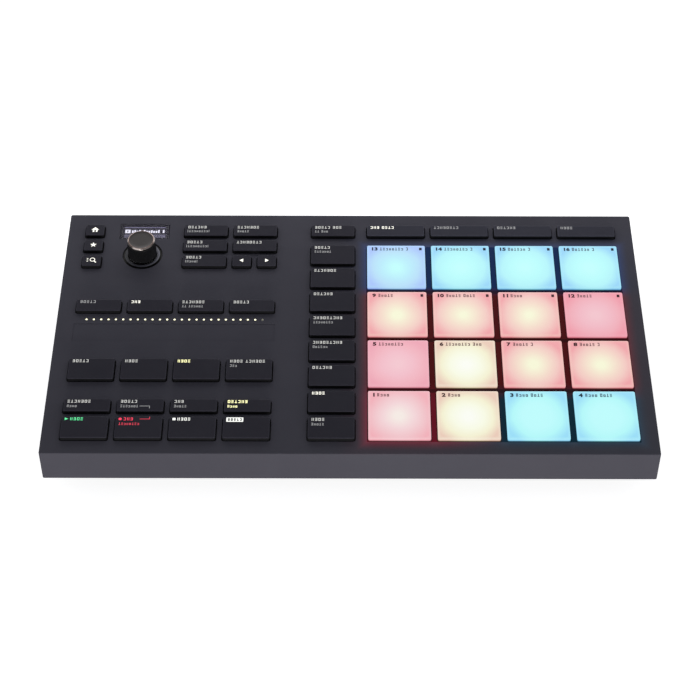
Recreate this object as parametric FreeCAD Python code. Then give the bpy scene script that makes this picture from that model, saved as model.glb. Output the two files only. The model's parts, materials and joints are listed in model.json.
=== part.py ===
"""Desktop pad controller: a flat panel with sixteen pads, thirty-nine buttons, a lamp strip and a knob.

Frame: millimetres, +Z up. The origin is the centre of the footprint on the surface that the feet stand on.
+X is to the player's right, -Y is the edge nearest to the player.
"""

import FreeCAD, Part

import math
import os

from FreeCAD import Vector

# Case
skirt_height = 20.0
tray_height = 10.0
foot_height = 3.0
wall = 2.5
panel_thickness = 2.5
case_corner_radius = 1.0
case_inner_corner_radius = 0.5
case_edge_round = 0.5
tray_inset = 12.0
tray_corner_radius = 9.0
lip_height = 2.0
lip_thickness = 2.0
lip_gap = 0.3
lip_corner_radius = 0.8
tray_cross_ribs = 4
tray_long_ribs = 2
tray_rib_thickness = 1.5
tray_rib_height = 3.5

# Layout of the panel, seen from above: margins, openings, the bars between them and the free bands
side_margin = 9.5
front_margin = 8.4
back_margin = 9.7
bar_width = 2.5
key_width = 25.5
key_large_depth = 15.65
key_small_depth = 9.6
pad_width = 33.5
lower_band = 12.9
strip_band = 34.1
mode_band = 6.6
middle_band = 18.5
column_band = 6.0

# Button caps
cap_rise = 2.1
cap_gap = 0.55
cap_wall = 1.0
cap_roof = 1.4
cap_corner_radius = 0.8
cap_edge_round = 0.35
flange_lap = 0.35
flange_clearance = 0.2
press_travel = 1.0
press_reserve = 0.2
plunger_radius = 1.5
plunger_gap = 0.1

# Silicone dome sheet
dome_sheet = 0.8
dome_height = 1.8
dome_base_radius = 2.5
dome_top_radius = 1.6

# Pads
pad_rise = 2.1
pad_gap = 0.5
pad_corner_radius = 0.9
pad_edge_round = 0.6
pad_roof = 3.5
pad_side = 3.0
pad_web = 1.4
pad_web_lap = 0.7
pad_web_clearance = 0.2
sensor_thickness = 0.3

# Circuit boards
board_thickness = 1.6
board_drop = 3.5
board_edge_gap = 0.7
board_joint_gap = 0.4
lamp_size = 5.0
lamp_height = 1.2
strip_lamp_size = 1.2
strip_lamp_height = 0.6
header_width = 12.0
header_depth = 8.0
header_height = 2.5

# Lamp strip and touch strip
strip_lamps = 25
strip_lamp_pitch = 4.0
strip_lamp_offset = 4.2
pin_radius = 0.8
pin_clearance = 0.05
guide_bar_depth = 3.0
guide_bar_height = 1.5
touch_offset = 2.9
touch_depth = 13.1
touch_thickness = 0.5
touch_recess = 0.25

# Display
window_width = 28.0
window_depth = 12.0
window_thickness = 1.2
window_corner_radius = 0.4
window_gap = 0.1
window_ledge = 0.9
window_back_margin = 13.5
module_frame = 1.0
module_gap = 0.3
glass_side_gap = 0.2
glass_air_gap = 0.15

# Encoder and knob
knob_rise = 12.0
knob_base_radius = 8.0
knob_top_radius = 7.8
knob_grooves = 60
knob_groove_depth = 0.22
knob_ridge_share = 0.28
knob_cap_step = 0.1
knob_cap_height = 1.6
knob_cap_chamfer = 0.9
knob_cap_recess = 0.8
knob_travel = 0.5
knob_reserve = 0.3
collar_bore_gap = 0.52
collar_ring_width = 1.8
collar_low_width = 1.0
collar_hole_gap = 0.1
collar_flange_lap = 0.6
collar_flange_height = 1.2
collar_module_gap = 0.2
collar_low_step = 0.8
collar_rise = 0.2
encoder_side = 11.0
encoder_height = 5.0
encoder_wall = 1.2
encoder_floor = 0.6
bushing_radius = 3.5
bushing_height = 3.0
bushing_clearance = 0.7
shaft_radius = 3.0
shaft_play = 0.05
shaft_flat = 0.6
shaft_end_cover = 2.0
shaft_press_gap = 0.02
plunger_disc_radius = 3.2
plunger_disc_height = 1.4
plunger_side_gap = 0.3

# Socket and lock slot in the rear wall
socket_from_side = 55.0
socket_width = 12.0
socket_height = 10.8
socket_depth = 16.0
socket_setback = 0.4
socket_hole_gap = 0.3
socket_cavity_width = 8.6
socket_cavity_height = 7.9
socket_cavity_depth = 10.4
socket_cavity_chamfer = 0.9
socket_tongue_width = 5.6
socket_tongue_height = 3.2
socket_tongue_length = 5.2
lock_from_side = 48.0
lock_width = 7.0
lock_height = 3.0
lock_corner_radius = 1.0

# Feet
foot_radius = 9.0
foot_seat_depth = 0.6
foot_seat_gap = 0.1
foot_edge_round = 0.6
foot_from_side = 30.0
foot_from_front = 26.0

# Screws and bosses
boss_radius = 2.6
board_boss_radius = 2.2
boss_side_gap = 0.3
boss_web_gap = 0.4
boss_clearance = 0.6
tray_boss_radius = 4.2
edge_screw_inset = 6.2
side_screw_from_corner = 26.5
band_screw_from_edge = 16.5
board_screw_inset = 4.0
screw_head_radius = 2.2
screw_head_height = 1.4
screw_radius = 1.25
screw_pilot_gap = 0.05
screw_pilot_spare = 1.0
screw_length = 10.0
screw_clamp = 2.1
screw_head_gap = 0.3
screw_slot_width = 0.7
screw_slot_depth = 0.9
screw_slot_rim = 0.9
board_screw_head_radius = 2.0
board_screw_head_height = 1.4
board_screw_radius = 0.9
board_screw_length = 4.6
board_screw_pilot_spare = 0.4

# The least straight side that a rounded rectangle keeps between two corners
least_flat = 0.1

# Names of the buttons that stand in full rows and in the scene column, from the left and from the front
FUNCTION_ROW = ("pitch", "mod", "perform", "notes")
GROUP_ROW = ("group", "auto", "lock", "note_repeat")
RESTART_ROW = ("restart", "erase", "tap", "follow")
PLAY_ROW = ("play", "record", "stop", "shift")
MODE_ROW = ("pad_mode", "keyboard", "chords", "step")
SCENE_COLUMN = ("mute", "solo", "select", "duplicate", "variation", "events", "pattern", "scene")

# Pitches and blocks worked out from the sizes above: a pad is as deep as two large keys and their bar
key_pitch = key_width + bar_width
half_key_width = (key_width - bar_width) / 2
half_key_pitch = half_key_width + bar_width
large_pitch = key_large_depth + bar_width
small_pitch = key_small_depth + bar_width
pad_depth = 2 * key_large_depth + bar_width
pad_pitch_x = pad_width + bar_width
pad_pitch_y = pad_depth + bar_width
key_columns = len(PLAY_ROW)
pad_columns = len(MODE_ROW)
pad_rows = len(SCENE_COLUMN) // 2
keys_width = key_columns * key_pitch - bar_width
pads_width = pad_columns * pad_pitch_x - bar_width
pads_depth = pad_rows * pad_pitch_y - bar_width

# The panel is as wide and as deep as what stands on it
panel_width = 2 * side_margin + keys_width + middle_band + key_width + column_band + pads_width
panel_depth = front_margin + pads_depth + mode_band + key_small_depth + back_margin

# Heights
tray_bottom_z = foot_height
skirt_bottom_z = foot_height + tray_height
panel_z = skirt_bottom_z + skirt_height
panel_under_z = panel_z - panel_thickness
board_top_z = panel_under_z - board_drop
board_bottom_z = board_top_z - board_thickness
sheet_top_z = board_top_z + dome_sheet
dome_top_z = sheet_top_z + dome_height
flange_top_z = panel_under_z - flange_clearance
flange_bottom_z = sheet_top_z + press_travel + press_reserve
cap_top_z = panel_z + cap_rise
pad_top_z = panel_z + pad_rise
sensor_top_z = board_top_z + sensor_thickness
web_top_z = panel_under_z - pad_web_clearance
web_bottom_z = web_top_z - pad_web
lip_top_z = skirt_bottom_z + lip_height
screw_seat_z = lip_top_z - screw_clamp
window_bottom_z = panel_z - window_thickness
module_bottom_z = sheet_top_z + module_gap
glass_top_z = window_bottom_z - glass_air_gap
encoder_top_z = board_top_z + encoder_height
bushing_top_z = encoder_top_z + bushing_height
plunger_bottom_z = board_top_z + encoder_floor + knob_travel + knob_reserve
plunger_top_z = plunger_bottom_z + plunger_disc_height
knob_base_z = panel_z + collar_rise + knob_travel + knob_reserve
knob_top_z = panel_z + knob_rise
knob_skirt_z = knob_top_z - knob_cap_height
shaft_top_z = knob_skirt_z - shaft_end_cover

# Places on the panel
left_edge = -panel_width / 2 + side_margin
right_edge = panel_width / 2 - side_margin
front_edge = -panel_depth / 2 + front_margin
inner_x = panel_width / 2 - wall
inner_y = panel_depth / 2 - wall
columns_right = left_edge + keys_width
column_left = [left_edge + i * key_pitch for i in range(key_columns)]
pads_left = right_edge - pads_width
pads_back = front_edge + pads_depth
scene_left = pads_left - column_band - key_width
restart_front = front_edge + large_pitch
group_front = restart_front + key_small_depth + lower_band
function_front = group_front + key_large_depth + strip_band
volume_front = pads_back + mode_band
swing_front = volume_front - small_pitch
tempo_front = swing_front - small_pitch
rows_back = volume_front + key_small_depth

strip_center_x = (left_edge + columns_right) / 2
strip_lamp_y = function_front - strip_lamp_offset
touch_back = strip_lamp_y - touch_offset
touch_front = touch_back - touch_depth
window_x = (left_edge + half_key_width + column_left[2]) / 2
window_y = panel_depth / 2 - window_back_margin

# The collar clears the encoder's corners, and its flange clears the display module
knob_cap_radius = knob_top_radius - knob_cap_step
collar_bore_radius = math.hypot(encoder_side / 2, encoder_side / 2) + collar_bore_gap
collar_ring_radius = collar_bore_radius + collar_ring_width
collar_hole_radius = collar_ring_radius + collar_low_width + collar_hole_gap
collar_flange_radius = collar_hole_radius + collar_flange_lap
module_half_x = window_width / 2 + module_frame
module_half_y = window_depth / 2 + module_frame
knob_y = window_y - module_half_y - collar_module_gap - collar_flange_radius

# Places of the bosses, screws and boards
middle_band_x = (columns_right + scene_left) / 2
front_screw_y = (touch_front + group_front + key_large_depth) / 2
back_screw_y = (function_front + key_small_depth + tempo_front) / 2
side_boss_x = panel_width / 2 - edge_screw_inset
end_boss_y = panel_depth / 2 - edge_screw_inset
side_screw_y = panel_depth / 2 - side_screw_from_corner
band_screw_y = panel_depth / 2 - band_screw_from_edge
pads_middle_x = pads_left + pads_width / 2
board_split_x = (scene_left + key_width + pads_left) / 2
back_boss_y = (pads_back + pad_web_lap + volume_front - flange_lap) / 2
front_boss_y = front_edge - pad_web_lap - board_boss_radius - boss_side_gap
board_split_y = back_boss_y + board_boss_radius + boss_side_gap
socket_x = -panel_width / 2 + socket_from_side
socket_bottom_z = board_bottom_z - socket_height
socket_mouth_y = panel_depth / 2 - socket_setback
lock_x = panel_width / 2 - lock_from_side

# One row per button: name, left edge, width and front edge of its opening, and the opening's depth
BUTTONS = [
    ("home", column_left[0], half_key_width, volume_front, key_small_depth),
    ("favorite", column_left[0], half_key_width, swing_front, key_small_depth),
    ("browse", column_left[0], half_key_width, tempo_front, key_small_depth),
    ("volume", column_left[2], key_width, volume_front, key_small_depth),
    ("swing", column_left[2], key_width, swing_front, key_small_depth),
    ("tempo", column_left[2], key_width, tempo_front, key_small_depth),
    ("plugin", column_left[3], key_width, volume_front, key_small_depth),
    ("sampling", column_left[3], key_width, swing_front, key_small_depth),
    ("left", column_left[3], half_key_width, tempo_front, key_small_depth),
    ("right", column_left[3] + half_key_pitch, half_key_width, tempo_front, key_small_depth),
    ("fixed_velocity", scene_left, key_width, volume_front, key_small_depth),
]
ROWS = [
    (FUNCTION_ROW, function_front, key_small_depth),
    (GROUP_ROW, group_front, key_large_depth),
    (RESTART_ROW, restart_front, key_small_depth),
    (PLAY_ROW, front_edge, key_large_depth),
]
for names, row_front, row_depth in ROWS:
    for name, left in zip(names, column_left):
        BUTTONS.append((name, left, key_width, row_front, row_depth))
for step, name in enumerate(SCENE_COLUMN):
    BUTTONS.append((name, scene_left, key_width, front_edge + step * large_pitch, key_large_depth))
for column, name in enumerate(MODE_ROW):
    BUTTONS.append((name, pads_left + column * pad_pitch_x, pad_width, volume_front, key_small_depth))

PADS = [
    (pads_left + column * pad_pitch_x, front_edge + row * pad_pitch_y)
    for row in range(pad_rows)
    for column in range(pad_columns)
]

CASE_SCREWS = [
    (x, y)
    for x in (-side_boss_x, side_boss_x)
    for y in (-side_screw_y, 0, side_screw_y)
] + [
    (middle_band_x, -band_screw_y),
    (middle_band_x, band_screw_y),
    (pads_middle_x, -end_boss_y),
    (pads_middle_x, end_boss_y),
]
first_bar_x = pads_left + pad_width + bar_width / 2
last_bar_x = right_edge - pad_width - bar_width / 2
MAIN_BOARD_SCREWS = [
    (x, y)
    for x in (left_edge + board_screw_inset, column_left[2], middle_band_x)
    for y in (front_screw_y, back_screw_y)
]
PAD_BOARD_SCREWS = [
    (first_bar_x, back_boss_y),
    (last_bar_x, back_boss_y),
    (first_bar_x, front_boss_y),
    (last_bar_x, front_boss_y),
    (side_boss_x, -side_screw_y / 2),
]


def block(x0, y0, z0, x1, y1, z1):
    """A box between two corners."""
    return Part.makeBox(x1 - x0, y1 - y0, z1 - z0, Vector(x0, y0, z0))


def post(x, y, z0, z1, radius):
    """An upright cylinder."""
    return Part.makeCylinder(radius, z1 - z0, Vector(x, y, z0))


def rounded_wire(x0, y0, x1, y1, z, radius):
    """The outline of a rectangle with round corners, at one height."""
    r = min(radius, (x1 - x0 - least_flat) / 2, (y1 - y0 - least_flat) / 2)
    corners = [(x1 - r, y0 + r, -90), (x1 - r, y1 - r, 0), (x0 + r, y1 - r, 90), (x0 + r, y0 + r, 180)]
    points = []
    for cx, cy, start in corners:
        for turn in (0, 45, 90):
            angle = math.radians(start + turn)
            points.append(Vector(cx + r * math.cos(angle), cy + r * math.sin(angle), z))
    edges = []
    for i in range(4):
        a, b, c = points[3 * i : 3 * i + 3]
        edges.append(Part.Arc(a, b, c).toShape())
        edges.append(Part.LineSegment(c, points[(3 * i + 3) % 12]).toShape())
    return Part.Wire(edges)


def rounded_block(x0, y0, x1, y1, z0, z1, radius):
    """A box with round upright edges."""
    face = Part.Face(rounded_wire(x0, y0, x1, y1, z0, radius))
    return face.extrude(Vector(0, 0, z1 - z0))


def edges_at(shape, z):
    """The edges that lie flat at one height."""
    flat = []
    for edge in shape.Edges:
        box = edge.BoundBox
        if abs(box.ZMin - z) < 1e-6 and abs(box.ZMax - z) < 1e-6:
            flat.append(edge)
    return flat


def centered_wire(inset, z, radius):
    """The case's outline, drawn in by an inset."""
    half_x = panel_width / 2 - inset
    half_y = panel_depth / 2 - inset
    return rounded_wire(-half_x, -half_y, half_x, half_y, z, radius)


def slab(inset, z0, z1, radius):
    """A flat plate of the case's outline, drawn in by an inset."""
    return Part.Face(centered_wire(inset, z0, radius)).extrude(Vector(0, 0, z1 - z0))


def taper(inset_low, z0, radius_low, inset_high, z1, radius_high):
    """A solid whose outline widens from one inset to another."""
    low = centered_wire(inset_low, z0, radius_low)
    high = centered_wire(inset_high, z1, radius_high)
    return Part.makeLoft([low, high], True, True)


def top_case():
    """The shell: panel, four side walls, long bosses for the case screws and short ones for the boards."""
    outer = slab(0, skirt_bottom_z, panel_z, case_corner_radius)
    outer = outer.makeFillet(case_edge_round, edges_at(outer, panel_z))
    shell = outer.cut(slab(wall, skirt_bottom_z, panel_under_z, case_inner_corner_radius))
    bosses = [post(x, y, lip_top_z, panel_under_z, boss_radius) for x, y in CASE_SCREWS]
    bosses += [
        post(x, y, board_top_z, panel_under_z, board_boss_radius)
        for x, y in MAIN_BOARD_SCREWS + PAD_BOARD_SCREWS
    ]
    shell = shell.fuse(bosses)
    cuts = []
    key_radius = cap_corner_radius + cap_gap
    for _, x, width, y, depth in BUTTONS:
        cuts.append(rounded_block(x, y, x + width, y + depth, panel_under_z, panel_z, key_radius))
    pad_radius = pad_corner_radius + pad_gap
    for x, y in PADS:
        cuts.append(rounded_block(x, y, x + pad_width, y + pad_depth, panel_under_z, panel_z, pad_radius))
    cuts += window_cuts()
    cuts.append(post(window_x, knob_y, panel_under_z, panel_z, collar_hole_radius))
    for i in range(strip_lamps):
        cuts.append(post(strip_lamp_x(i), strip_lamp_y, panel_under_z, panel_z, pin_radius + pin_clearance))
    cuts.append(block(left_edge, touch_front, panel_z - touch_recess, columns_right, touch_back, panel_z))
    cuts += rear_wall_cuts()
    pilot = screw_radius + screw_pilot_gap
    for x, y in CASE_SCREWS:
        cuts.append(post(x, y, lip_top_z, screw_seat_z + screw_length + screw_pilot_spare, pilot))
    board_pilot = board_screw_radius + screw_pilot_gap
    board_pilot_top_z = board_bottom_z + board_screw_length + board_screw_pilot_spare
    for x, y in MAIN_BOARD_SCREWS + PAD_BOARD_SCREWS:
        cuts.append(post(x, y, board_top_z, board_pilot_top_z, board_pilot))
    return shell.cut(cuts)


def around_window(half_x, half_y, z0, z1):
    """A box whose middle is the window's."""
    return block(window_x - half_x, window_y - half_y, z0, window_x + half_x, window_y + half_y, z1)


def window_cuts():
    """The display's opening: a wide seat for the lens over a narrower hole, which leaves a ledge."""
    half_x = window_width / 2 + window_gap
    half_y = window_depth / 2 + window_gap
    seat = around_window(half_x, half_y, window_bottom_z, panel_z)
    hole = around_window(half_x - window_ledge, half_y - window_ledge, panel_under_z, panel_z)
    return [seat, hole]


def rear_wall_cuts():
    """The hole that the socket looks out of, and the slot for a lock."""
    gap = socket_hole_gap
    socket_hole = block(
        socket_x - socket_width / 2 - gap,
        inner_y,
        socket_bottom_z - gap,
        socket_x + socket_width / 2 + gap,
        panel_depth / 2,
        board_bottom_z + gap,
    )
    lock_z = (skirt_bottom_z + panel_z) / 2
    half_width = lock_width / 2
    half_height = lock_height / 2
    lock_slot = rounded_block(-half_width, -half_height, half_width, half_height, 0, wall, lock_corner_radius)
    lock_slot.rotate(Vector(0, 0, 0), Vector(1, 0, 0), -90)
    lock_slot.translate(Vector(lock_x, inner_y, lock_z))
    return [socket_hole, lock_slot]


def bottom_case():
    """The tray: a floor, tapered sides, a lip inside the skirt, ribs, and a sleeve for every case screw."""
    lip_inset = wall + lip_gap
    corner = lip_corner_radius
    outer = taper(tray_inset, tray_bottom_z, tray_corner_radius, lip_inset, skirt_bottom_z, corner)
    outer = outer.fuse(slab(lip_inset, skirt_bottom_z, lip_top_z, corner))
    inner_inset = lip_inset + lip_thickness
    hollow = taper(
        tray_inset + wall,
        tray_bottom_z + wall,
        tray_corner_radius - wall,
        inner_inset,
        skirt_bottom_z,
        corner,
    )
    hollow = hollow.fuse(slab(inner_inset, skirt_bottom_z, lip_top_z, corner))
    tray = outer.cut(hollow)
    sleeves = [post(x, y, tray_bottom_z, lip_top_z, tray_boss_radius) for x, y in CASE_SCREWS]
    floor_top = tray_bottom_z + wall
    half_x = panel_width / 2 - tray_inset - wall
    half_y = panel_depth / 2 - tray_inset - wall
    half_rib = tray_rib_thickness / 2
    rib_top = floor_top + tray_rib_height
    ribs = []
    for x in even_places(half_x, tray_cross_ribs):
        ribs.append(block(x - half_rib, -half_y, floor_top, x + half_rib, half_y, rib_top))
    for y in even_places(half_y, tray_long_ribs):
        ribs.append(block(-half_x, y - half_rib, floor_top, half_x, y + half_rib, rib_top))
    sleeves_inside = [sleeve.common(outer) for sleeve in sleeves]
    tray = tray.fuse(sleeves_inside + ribs)
    cuts = []
    for x, y in CASE_SCREWS:
        cuts.append(post(x, y, 0, screw_seat_z, screw_head_radius + screw_head_gap))
        cuts.append(post(x, y, screw_seat_z, lip_top_z, screw_radius + screw_head_gap))
    for x, y in foot_places():
        cuts.append(post(x, y, tray_bottom_z, tray_bottom_z + foot_seat_depth, foot_radius + foot_seat_gap))
    half_notch = socket_width / 2 + socket_hole_gap
    cuts.append(
        block(
            socket_x - half_notch,
            socket_mouth_y - socket_depth,
            socket_bottom_z - socket_hole_gap,
            socket_x + half_notch,
            panel_depth / 2,
            lip_top_z,
        )
    )
    return tray.cut(cuts)


def even_places(half_length, count):
    """Places at equal steps between two ends, without the ends."""
    step = 2 * half_length / (count + 1)
    return [-half_length + (i + 1) * step for i in range(count)]


def foot_places():
    """The four feet's centres."""
    x = panel_width / 2 - foot_from_side
    y = panel_depth / 2 - foot_from_front
    return [(-x, -y), (x, -y), (-x, y), (x, y)]


def rubber_feet():
    """Four round feet, each in its seat in the tray's floor."""
    feet = []
    for x, y in foot_places():
        foot = post(x, y, 0, foot_height + foot_seat_depth, foot_radius)
        feet.append(foot.makeFillet(foot_edge_round, edges_at(foot, 0)))
    return Part.makeCompound(feet)


def button_cap(x, width, y, depth):
    """One hollow cap with its flange under the panel and the plunger that stands on its dome."""
    x0 = x + cap_gap
    y0 = y + cap_gap
    x1 = x + width - cap_gap
    y1 = y + depth - cap_gap
    cap = rounded_block(x0, y0, x1, y1, flange_bottom_z, cap_top_z, cap_corner_radius)
    cap = cap.makeFillet(cap_edge_round, edges_at(cap, cap_top_z))
    lap = cap_gap + flange_lap
    flange = block(x0 - lap, y0 - lap, flange_bottom_z, x1 + lap, y1 + lap, flange_top_z)
    roof_z = cap_top_z - cap_roof
    hollow = block(x0 + cap_wall, y0 + cap_wall, flange_bottom_z, x1 - cap_wall, y1 - cap_wall, roof_z)
    plunger = post((x0 + x1) / 2, (y0 + y1) / 2, dome_top_z + plunger_gap, roof_z, plunger_radius)
    return cap.fuse(flange).cut(hollow).fuse(plunger).removeSplitter()


def boss_notches(z0, z1):
    """Posts that keep a sheet clear of the case bosses."""
    return [post(x, y, z0, z1, boss_radius + boss_web_gap) for x, y in CASE_SCREWS]


def pad_mat():
    """The pads' single moulding: sixteen blocks, hollow over their lamps, joined by a web under the panel."""
    web = block(
        pads_left - pad_web_lap,
        front_edge - pad_web_lap,
        web_bottom_z,
        right_edge + pad_web_lap,
        pads_back + pad_web_lap,
        web_top_z,
    )
    web = web.cut(boss_notches(web_bottom_z, web_top_z))
    pads = []
    pockets = []
    pocket_top_z = pad_top_z - pad_roof
    for x, y in PADS:
        x0 = x + pad_gap
        y0 = y + pad_gap
        x1 = x + pad_width - pad_gap
        y1 = y + pad_depth - pad_gap
        pad = rounded_block(x0, y0, x1, y1, sensor_top_z, pad_top_z, pad_corner_radius)
        pads.append(pad.makeFillet(pad_edge_round, edges_at(pad, pad_top_z)))
        pockets.append(
            block(x0 + pad_side, y0 + pad_side, sensor_top_z, x1 - pad_side, y1 - pad_side, pocket_top_z)
        )
    return web.fuse(pads).cut(pockets).removeSplitter()


def pad_sensor_sheet():
    """The film that feels the pads' force, with a window over every lamp."""
    sheet = block(pads_left, front_edge, board_top_z, right_edge, pads_back, sensor_top_z)
    windows = boss_notches(board_top_z, sensor_top_z)
    inset = pad_gap + pad_side
    for x, y in PADS:
        x1 = x + pad_width - inset
        y1 = y + pad_depth - inset
        windows.append(block(x + inset, y + inset, board_top_z, x1, y1, sensor_top_z))
    return sheet.cut(windows)


def board_cuts(screws):
    """Holes in a board: wide ones round the case bosses, small ones for its own screws."""
    cuts = []
    for x, y in CASE_SCREWS:
        cuts.append(post(x, y, board_bottom_z, board_top_z, boss_radius + boss_clearance))
    for x, y in screws:
        cuts.append(post(x, y, board_bottom_z, board_top_z, board_screw_radius + screw_pilot_gap))
    return cuts


def pad_board():
    """The board under the pads, with one lamp in the middle of each pad."""
    board = block(
        board_split_x + board_joint_gap / 2,
        -inner_y + board_edge_gap,
        board_bottom_z,
        inner_x - board_edge_gap,
        board_split_y - board_joint_gap / 2,
        board_top_z,
    )
    lamps = []
    half = lamp_size / 2
    lamp_top_z = board_top_z + lamp_height
    for x, y in PADS:
        cx = x + pad_width / 2
        cy = y + pad_depth / 2
        lamps.append(block(cx - half, cy - half, board_top_z, cx + half, cy + half, lamp_top_z))
    return board.cut(board_cuts(PAD_BOARD_SCREWS)).fuse(lamps)


def strip_lamp_x(i):
    """The place of one lamp along the strip."""
    return strip_center_x + (i - (strip_lamps - 1) / 2) * strip_lamp_pitch


def main_board():
    """The board under the buttons: it runs down the left side and along the back, and carries the header."""
    left = block(
        -inner_x + board_edge_gap,
        -inner_y + board_edge_gap,
        board_bottom_z,
        board_split_x - board_joint_gap / 2,
        inner_y - board_edge_gap,
        board_top_z,
    )
    back = block(
        board_split_x - board_joint_gap,
        board_split_y + board_joint_gap / 2,
        board_bottom_z,
        inner_x - board_edge_gap,
        inner_y - board_edge_gap,
        board_top_z,
    )
    header = block(
        board_split_x - header_width / 2,
        -header_depth / 2,
        board_bottom_z - header_height,
        board_split_x + header_width / 2,
        header_depth / 2,
        board_bottom_z,
    )
    half = strip_lamp_size / 2
    lamps = []
    for i in range(strip_lamps):
        x = strip_lamp_x(i)
        top = board_top_z + strip_lamp_height
        lamps.append(block(x - half, strip_lamp_y - half, board_top_z, x + half, strip_lamp_y + half, top))
    board = left.fuse(back).cut(board_cuts(MAIN_BOARD_SCREWS))
    return board.fuse([header] + lamps).removeSplitter()


def button_mat():
    """The dome sheet on the main board, one dome in the middle of every button."""
    left = block(
        left_edge,
        front_edge,
        board_top_z,
        board_split_x - board_joint_gap,
        rows_back,
        sheet_top_z,
    )
    back = block(
        board_split_x - board_joint_gap,
        board_split_y + board_joint_gap,
        board_top_z,
        right_edge,
        rows_back,
        sheet_top_z,
    )
    domes = []
    for _, x, width, y, depth in BUTTONS:
        center = Vector(x + width / 2, y + depth / 2, sheet_top_z)
        domes.append(Part.makeCone(dome_base_radius, dome_top_radius, dome_height, center))
    cuts = []
    for x, y in CASE_SCREWS:
        cuts.append(post(x, y, board_top_z, sheet_top_z, boss_radius + boss_clearance))
    for x, y in MAIN_BOARD_SCREWS:
        cuts.append(post(x, y, board_top_z, sheet_top_z, board_boss_radius + boss_clearance))
    cuts.append(around_knob(encoder_side / 2 + boss_clearance, board_top_z, sheet_top_z))
    cuts.append(
        block(
            strip_lamp_x(0) - guide_bar_depth / 2,
            strip_lamp_y - guide_bar_depth / 2,
            board_top_z,
            strip_lamp_x(strip_lamps - 1) + guide_bar_depth / 2,
            strip_lamp_y + guide_bar_depth / 2,
            sheet_top_z,
        )
    )
    return left.fuse(back).cut(cuts).fuse(domes).removeSplitter()


def strip_light_guide():
    """A clear bar under the panel with one round pin up through the panel for each lamp."""
    bar = block(
        strip_lamp_x(0) - guide_bar_depth / 2,
        strip_lamp_y - guide_bar_depth / 2,
        panel_under_z - guide_bar_height,
        strip_lamp_x(strip_lamps - 1) + guide_bar_depth / 2,
        strip_lamp_y + guide_bar_depth / 2,
        panel_under_z,
    )
    pins = []
    pin_foot_z = panel_under_z - guide_bar_height / 2
    for i in range(strip_lamps):
        pins.append(post(strip_lamp_x(i), strip_lamp_y, pin_foot_z, panel_z, pin_radius))
    return bar.fuse(pins).removeSplitter()


def touch_strip():
    """The touch film, bonded to the underside of the panel."""
    film_bottom_z = panel_under_z - touch_thickness
    return block(left_edge, touch_front, film_bottom_z, columns_right, touch_back, panel_under_z)


def display_window():
    """The clear lens, flush with the panel."""
    half_x = window_width / 2
    half_y = window_depth / 2
    return rounded_block(
        window_x - half_x,
        window_y - half_y,
        window_x + half_x,
        window_y + half_y,
        window_bottom_z,
        panel_z,
        window_corner_radius,
    )


def display_module():
    """The display, bonded under the panel, with its glass raised in the hole to just under the lens."""
    body = around_window(module_half_x, module_half_y, module_bottom_z, panel_under_z)
    inset = window_gap - window_ledge - glass_side_gap
    glass = around_window(window_width / 2 + inset, window_depth / 2 + inset, panel_under_z, glass_top_z)
    return body.fuse(glass)


def encoder_collar():
    """The ring round the knob: a raised lip, a low step outside it and a flange under the panel."""
    low_radius = collar_hole_radius - collar_hole_gap
    flange_z = panel_under_z - collar_flange_height
    low = post(window_x, knob_y, panel_under_z, panel_z - collar_low_step, low_radius)
    ring = post(window_x, knob_y, panel_under_z, panel_z + collar_rise, collar_ring_radius)
    flange = post(window_x, knob_y, flange_z, panel_under_z, collar_flange_radius)
    bore = post(window_x, knob_y, flange_z, panel_z + collar_rise, collar_bore_radius)
    return low.fuse([ring, flange]).cut(bore).removeSplitter()


def around_knob(half, z0, z1):
    """A square box whose middle is the knob's axis."""
    return block(window_x - half, knob_y - half, z0, window_x + half, knob_y + half, z1)


def encoder_body():
    """The encoder's housing on the board, hollow over the plunger, with the bushing on top."""
    housing = around_knob(encoder_side / 2, board_top_z, encoder_top_z)
    bushing = post(window_x, knob_y, encoder_top_z, bushing_top_z, bushing_radius)
    cavity = post(
        window_x,
        knob_y,
        board_top_z + encoder_floor,
        encoder_top_z - encoder_wall,
        plunger_disc_radius + plunger_side_gap,
    )
    bore = post(window_x, knob_y, encoder_top_z - encoder_wall, bushing_top_z, shaft_radius + shaft_play)
    return housing.fuse(bushing).cut([cavity, bore])


def encoder_plunger():
    """The actuator of the push switch: a disc under the shaft."""
    return post(window_x, knob_y, plunger_bottom_z, plunger_top_z, plunger_disc_radius)


def d_shaft(z0, z1, radius, flat):
    """A round bar with a flat along one side."""
    bar = post(window_x, knob_y, z0, z1, radius)
    side = block(window_x - radius, knob_y + radius - flat, z0, window_x + radius, knob_y + 2 * radius, z1)
    return bar.cut(side)


def encoder_shaft():
    """The shaft: round through the bushing, with a flat where the knob holds it."""
    round_part = post(window_x, knob_y, plunger_top_z, bushing_top_z, shaft_radius)
    return round_part.fuse(d_shaft(bushing_top_z, shaft_top_z, shaft_radius, shaft_flat)).removeSplitter()


def knurled_wire(radius, z):
    """A closed outline with one shallow groove per step round the knob."""
    points = []
    ridge = knob_ridge_share
    for i in range(knob_grooves):
        for share, r in ((-ridge, radius), (ridge, radius), (0.5, radius - knob_groove_depth)):
            angle = 2 * math.pi * (i + share) / knob_grooves
            points.append(Vector(window_x + r * math.cos(angle), knob_y + r * math.sin(angle), z))
    return Part.makePolygon(points + [points[0]])


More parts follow.
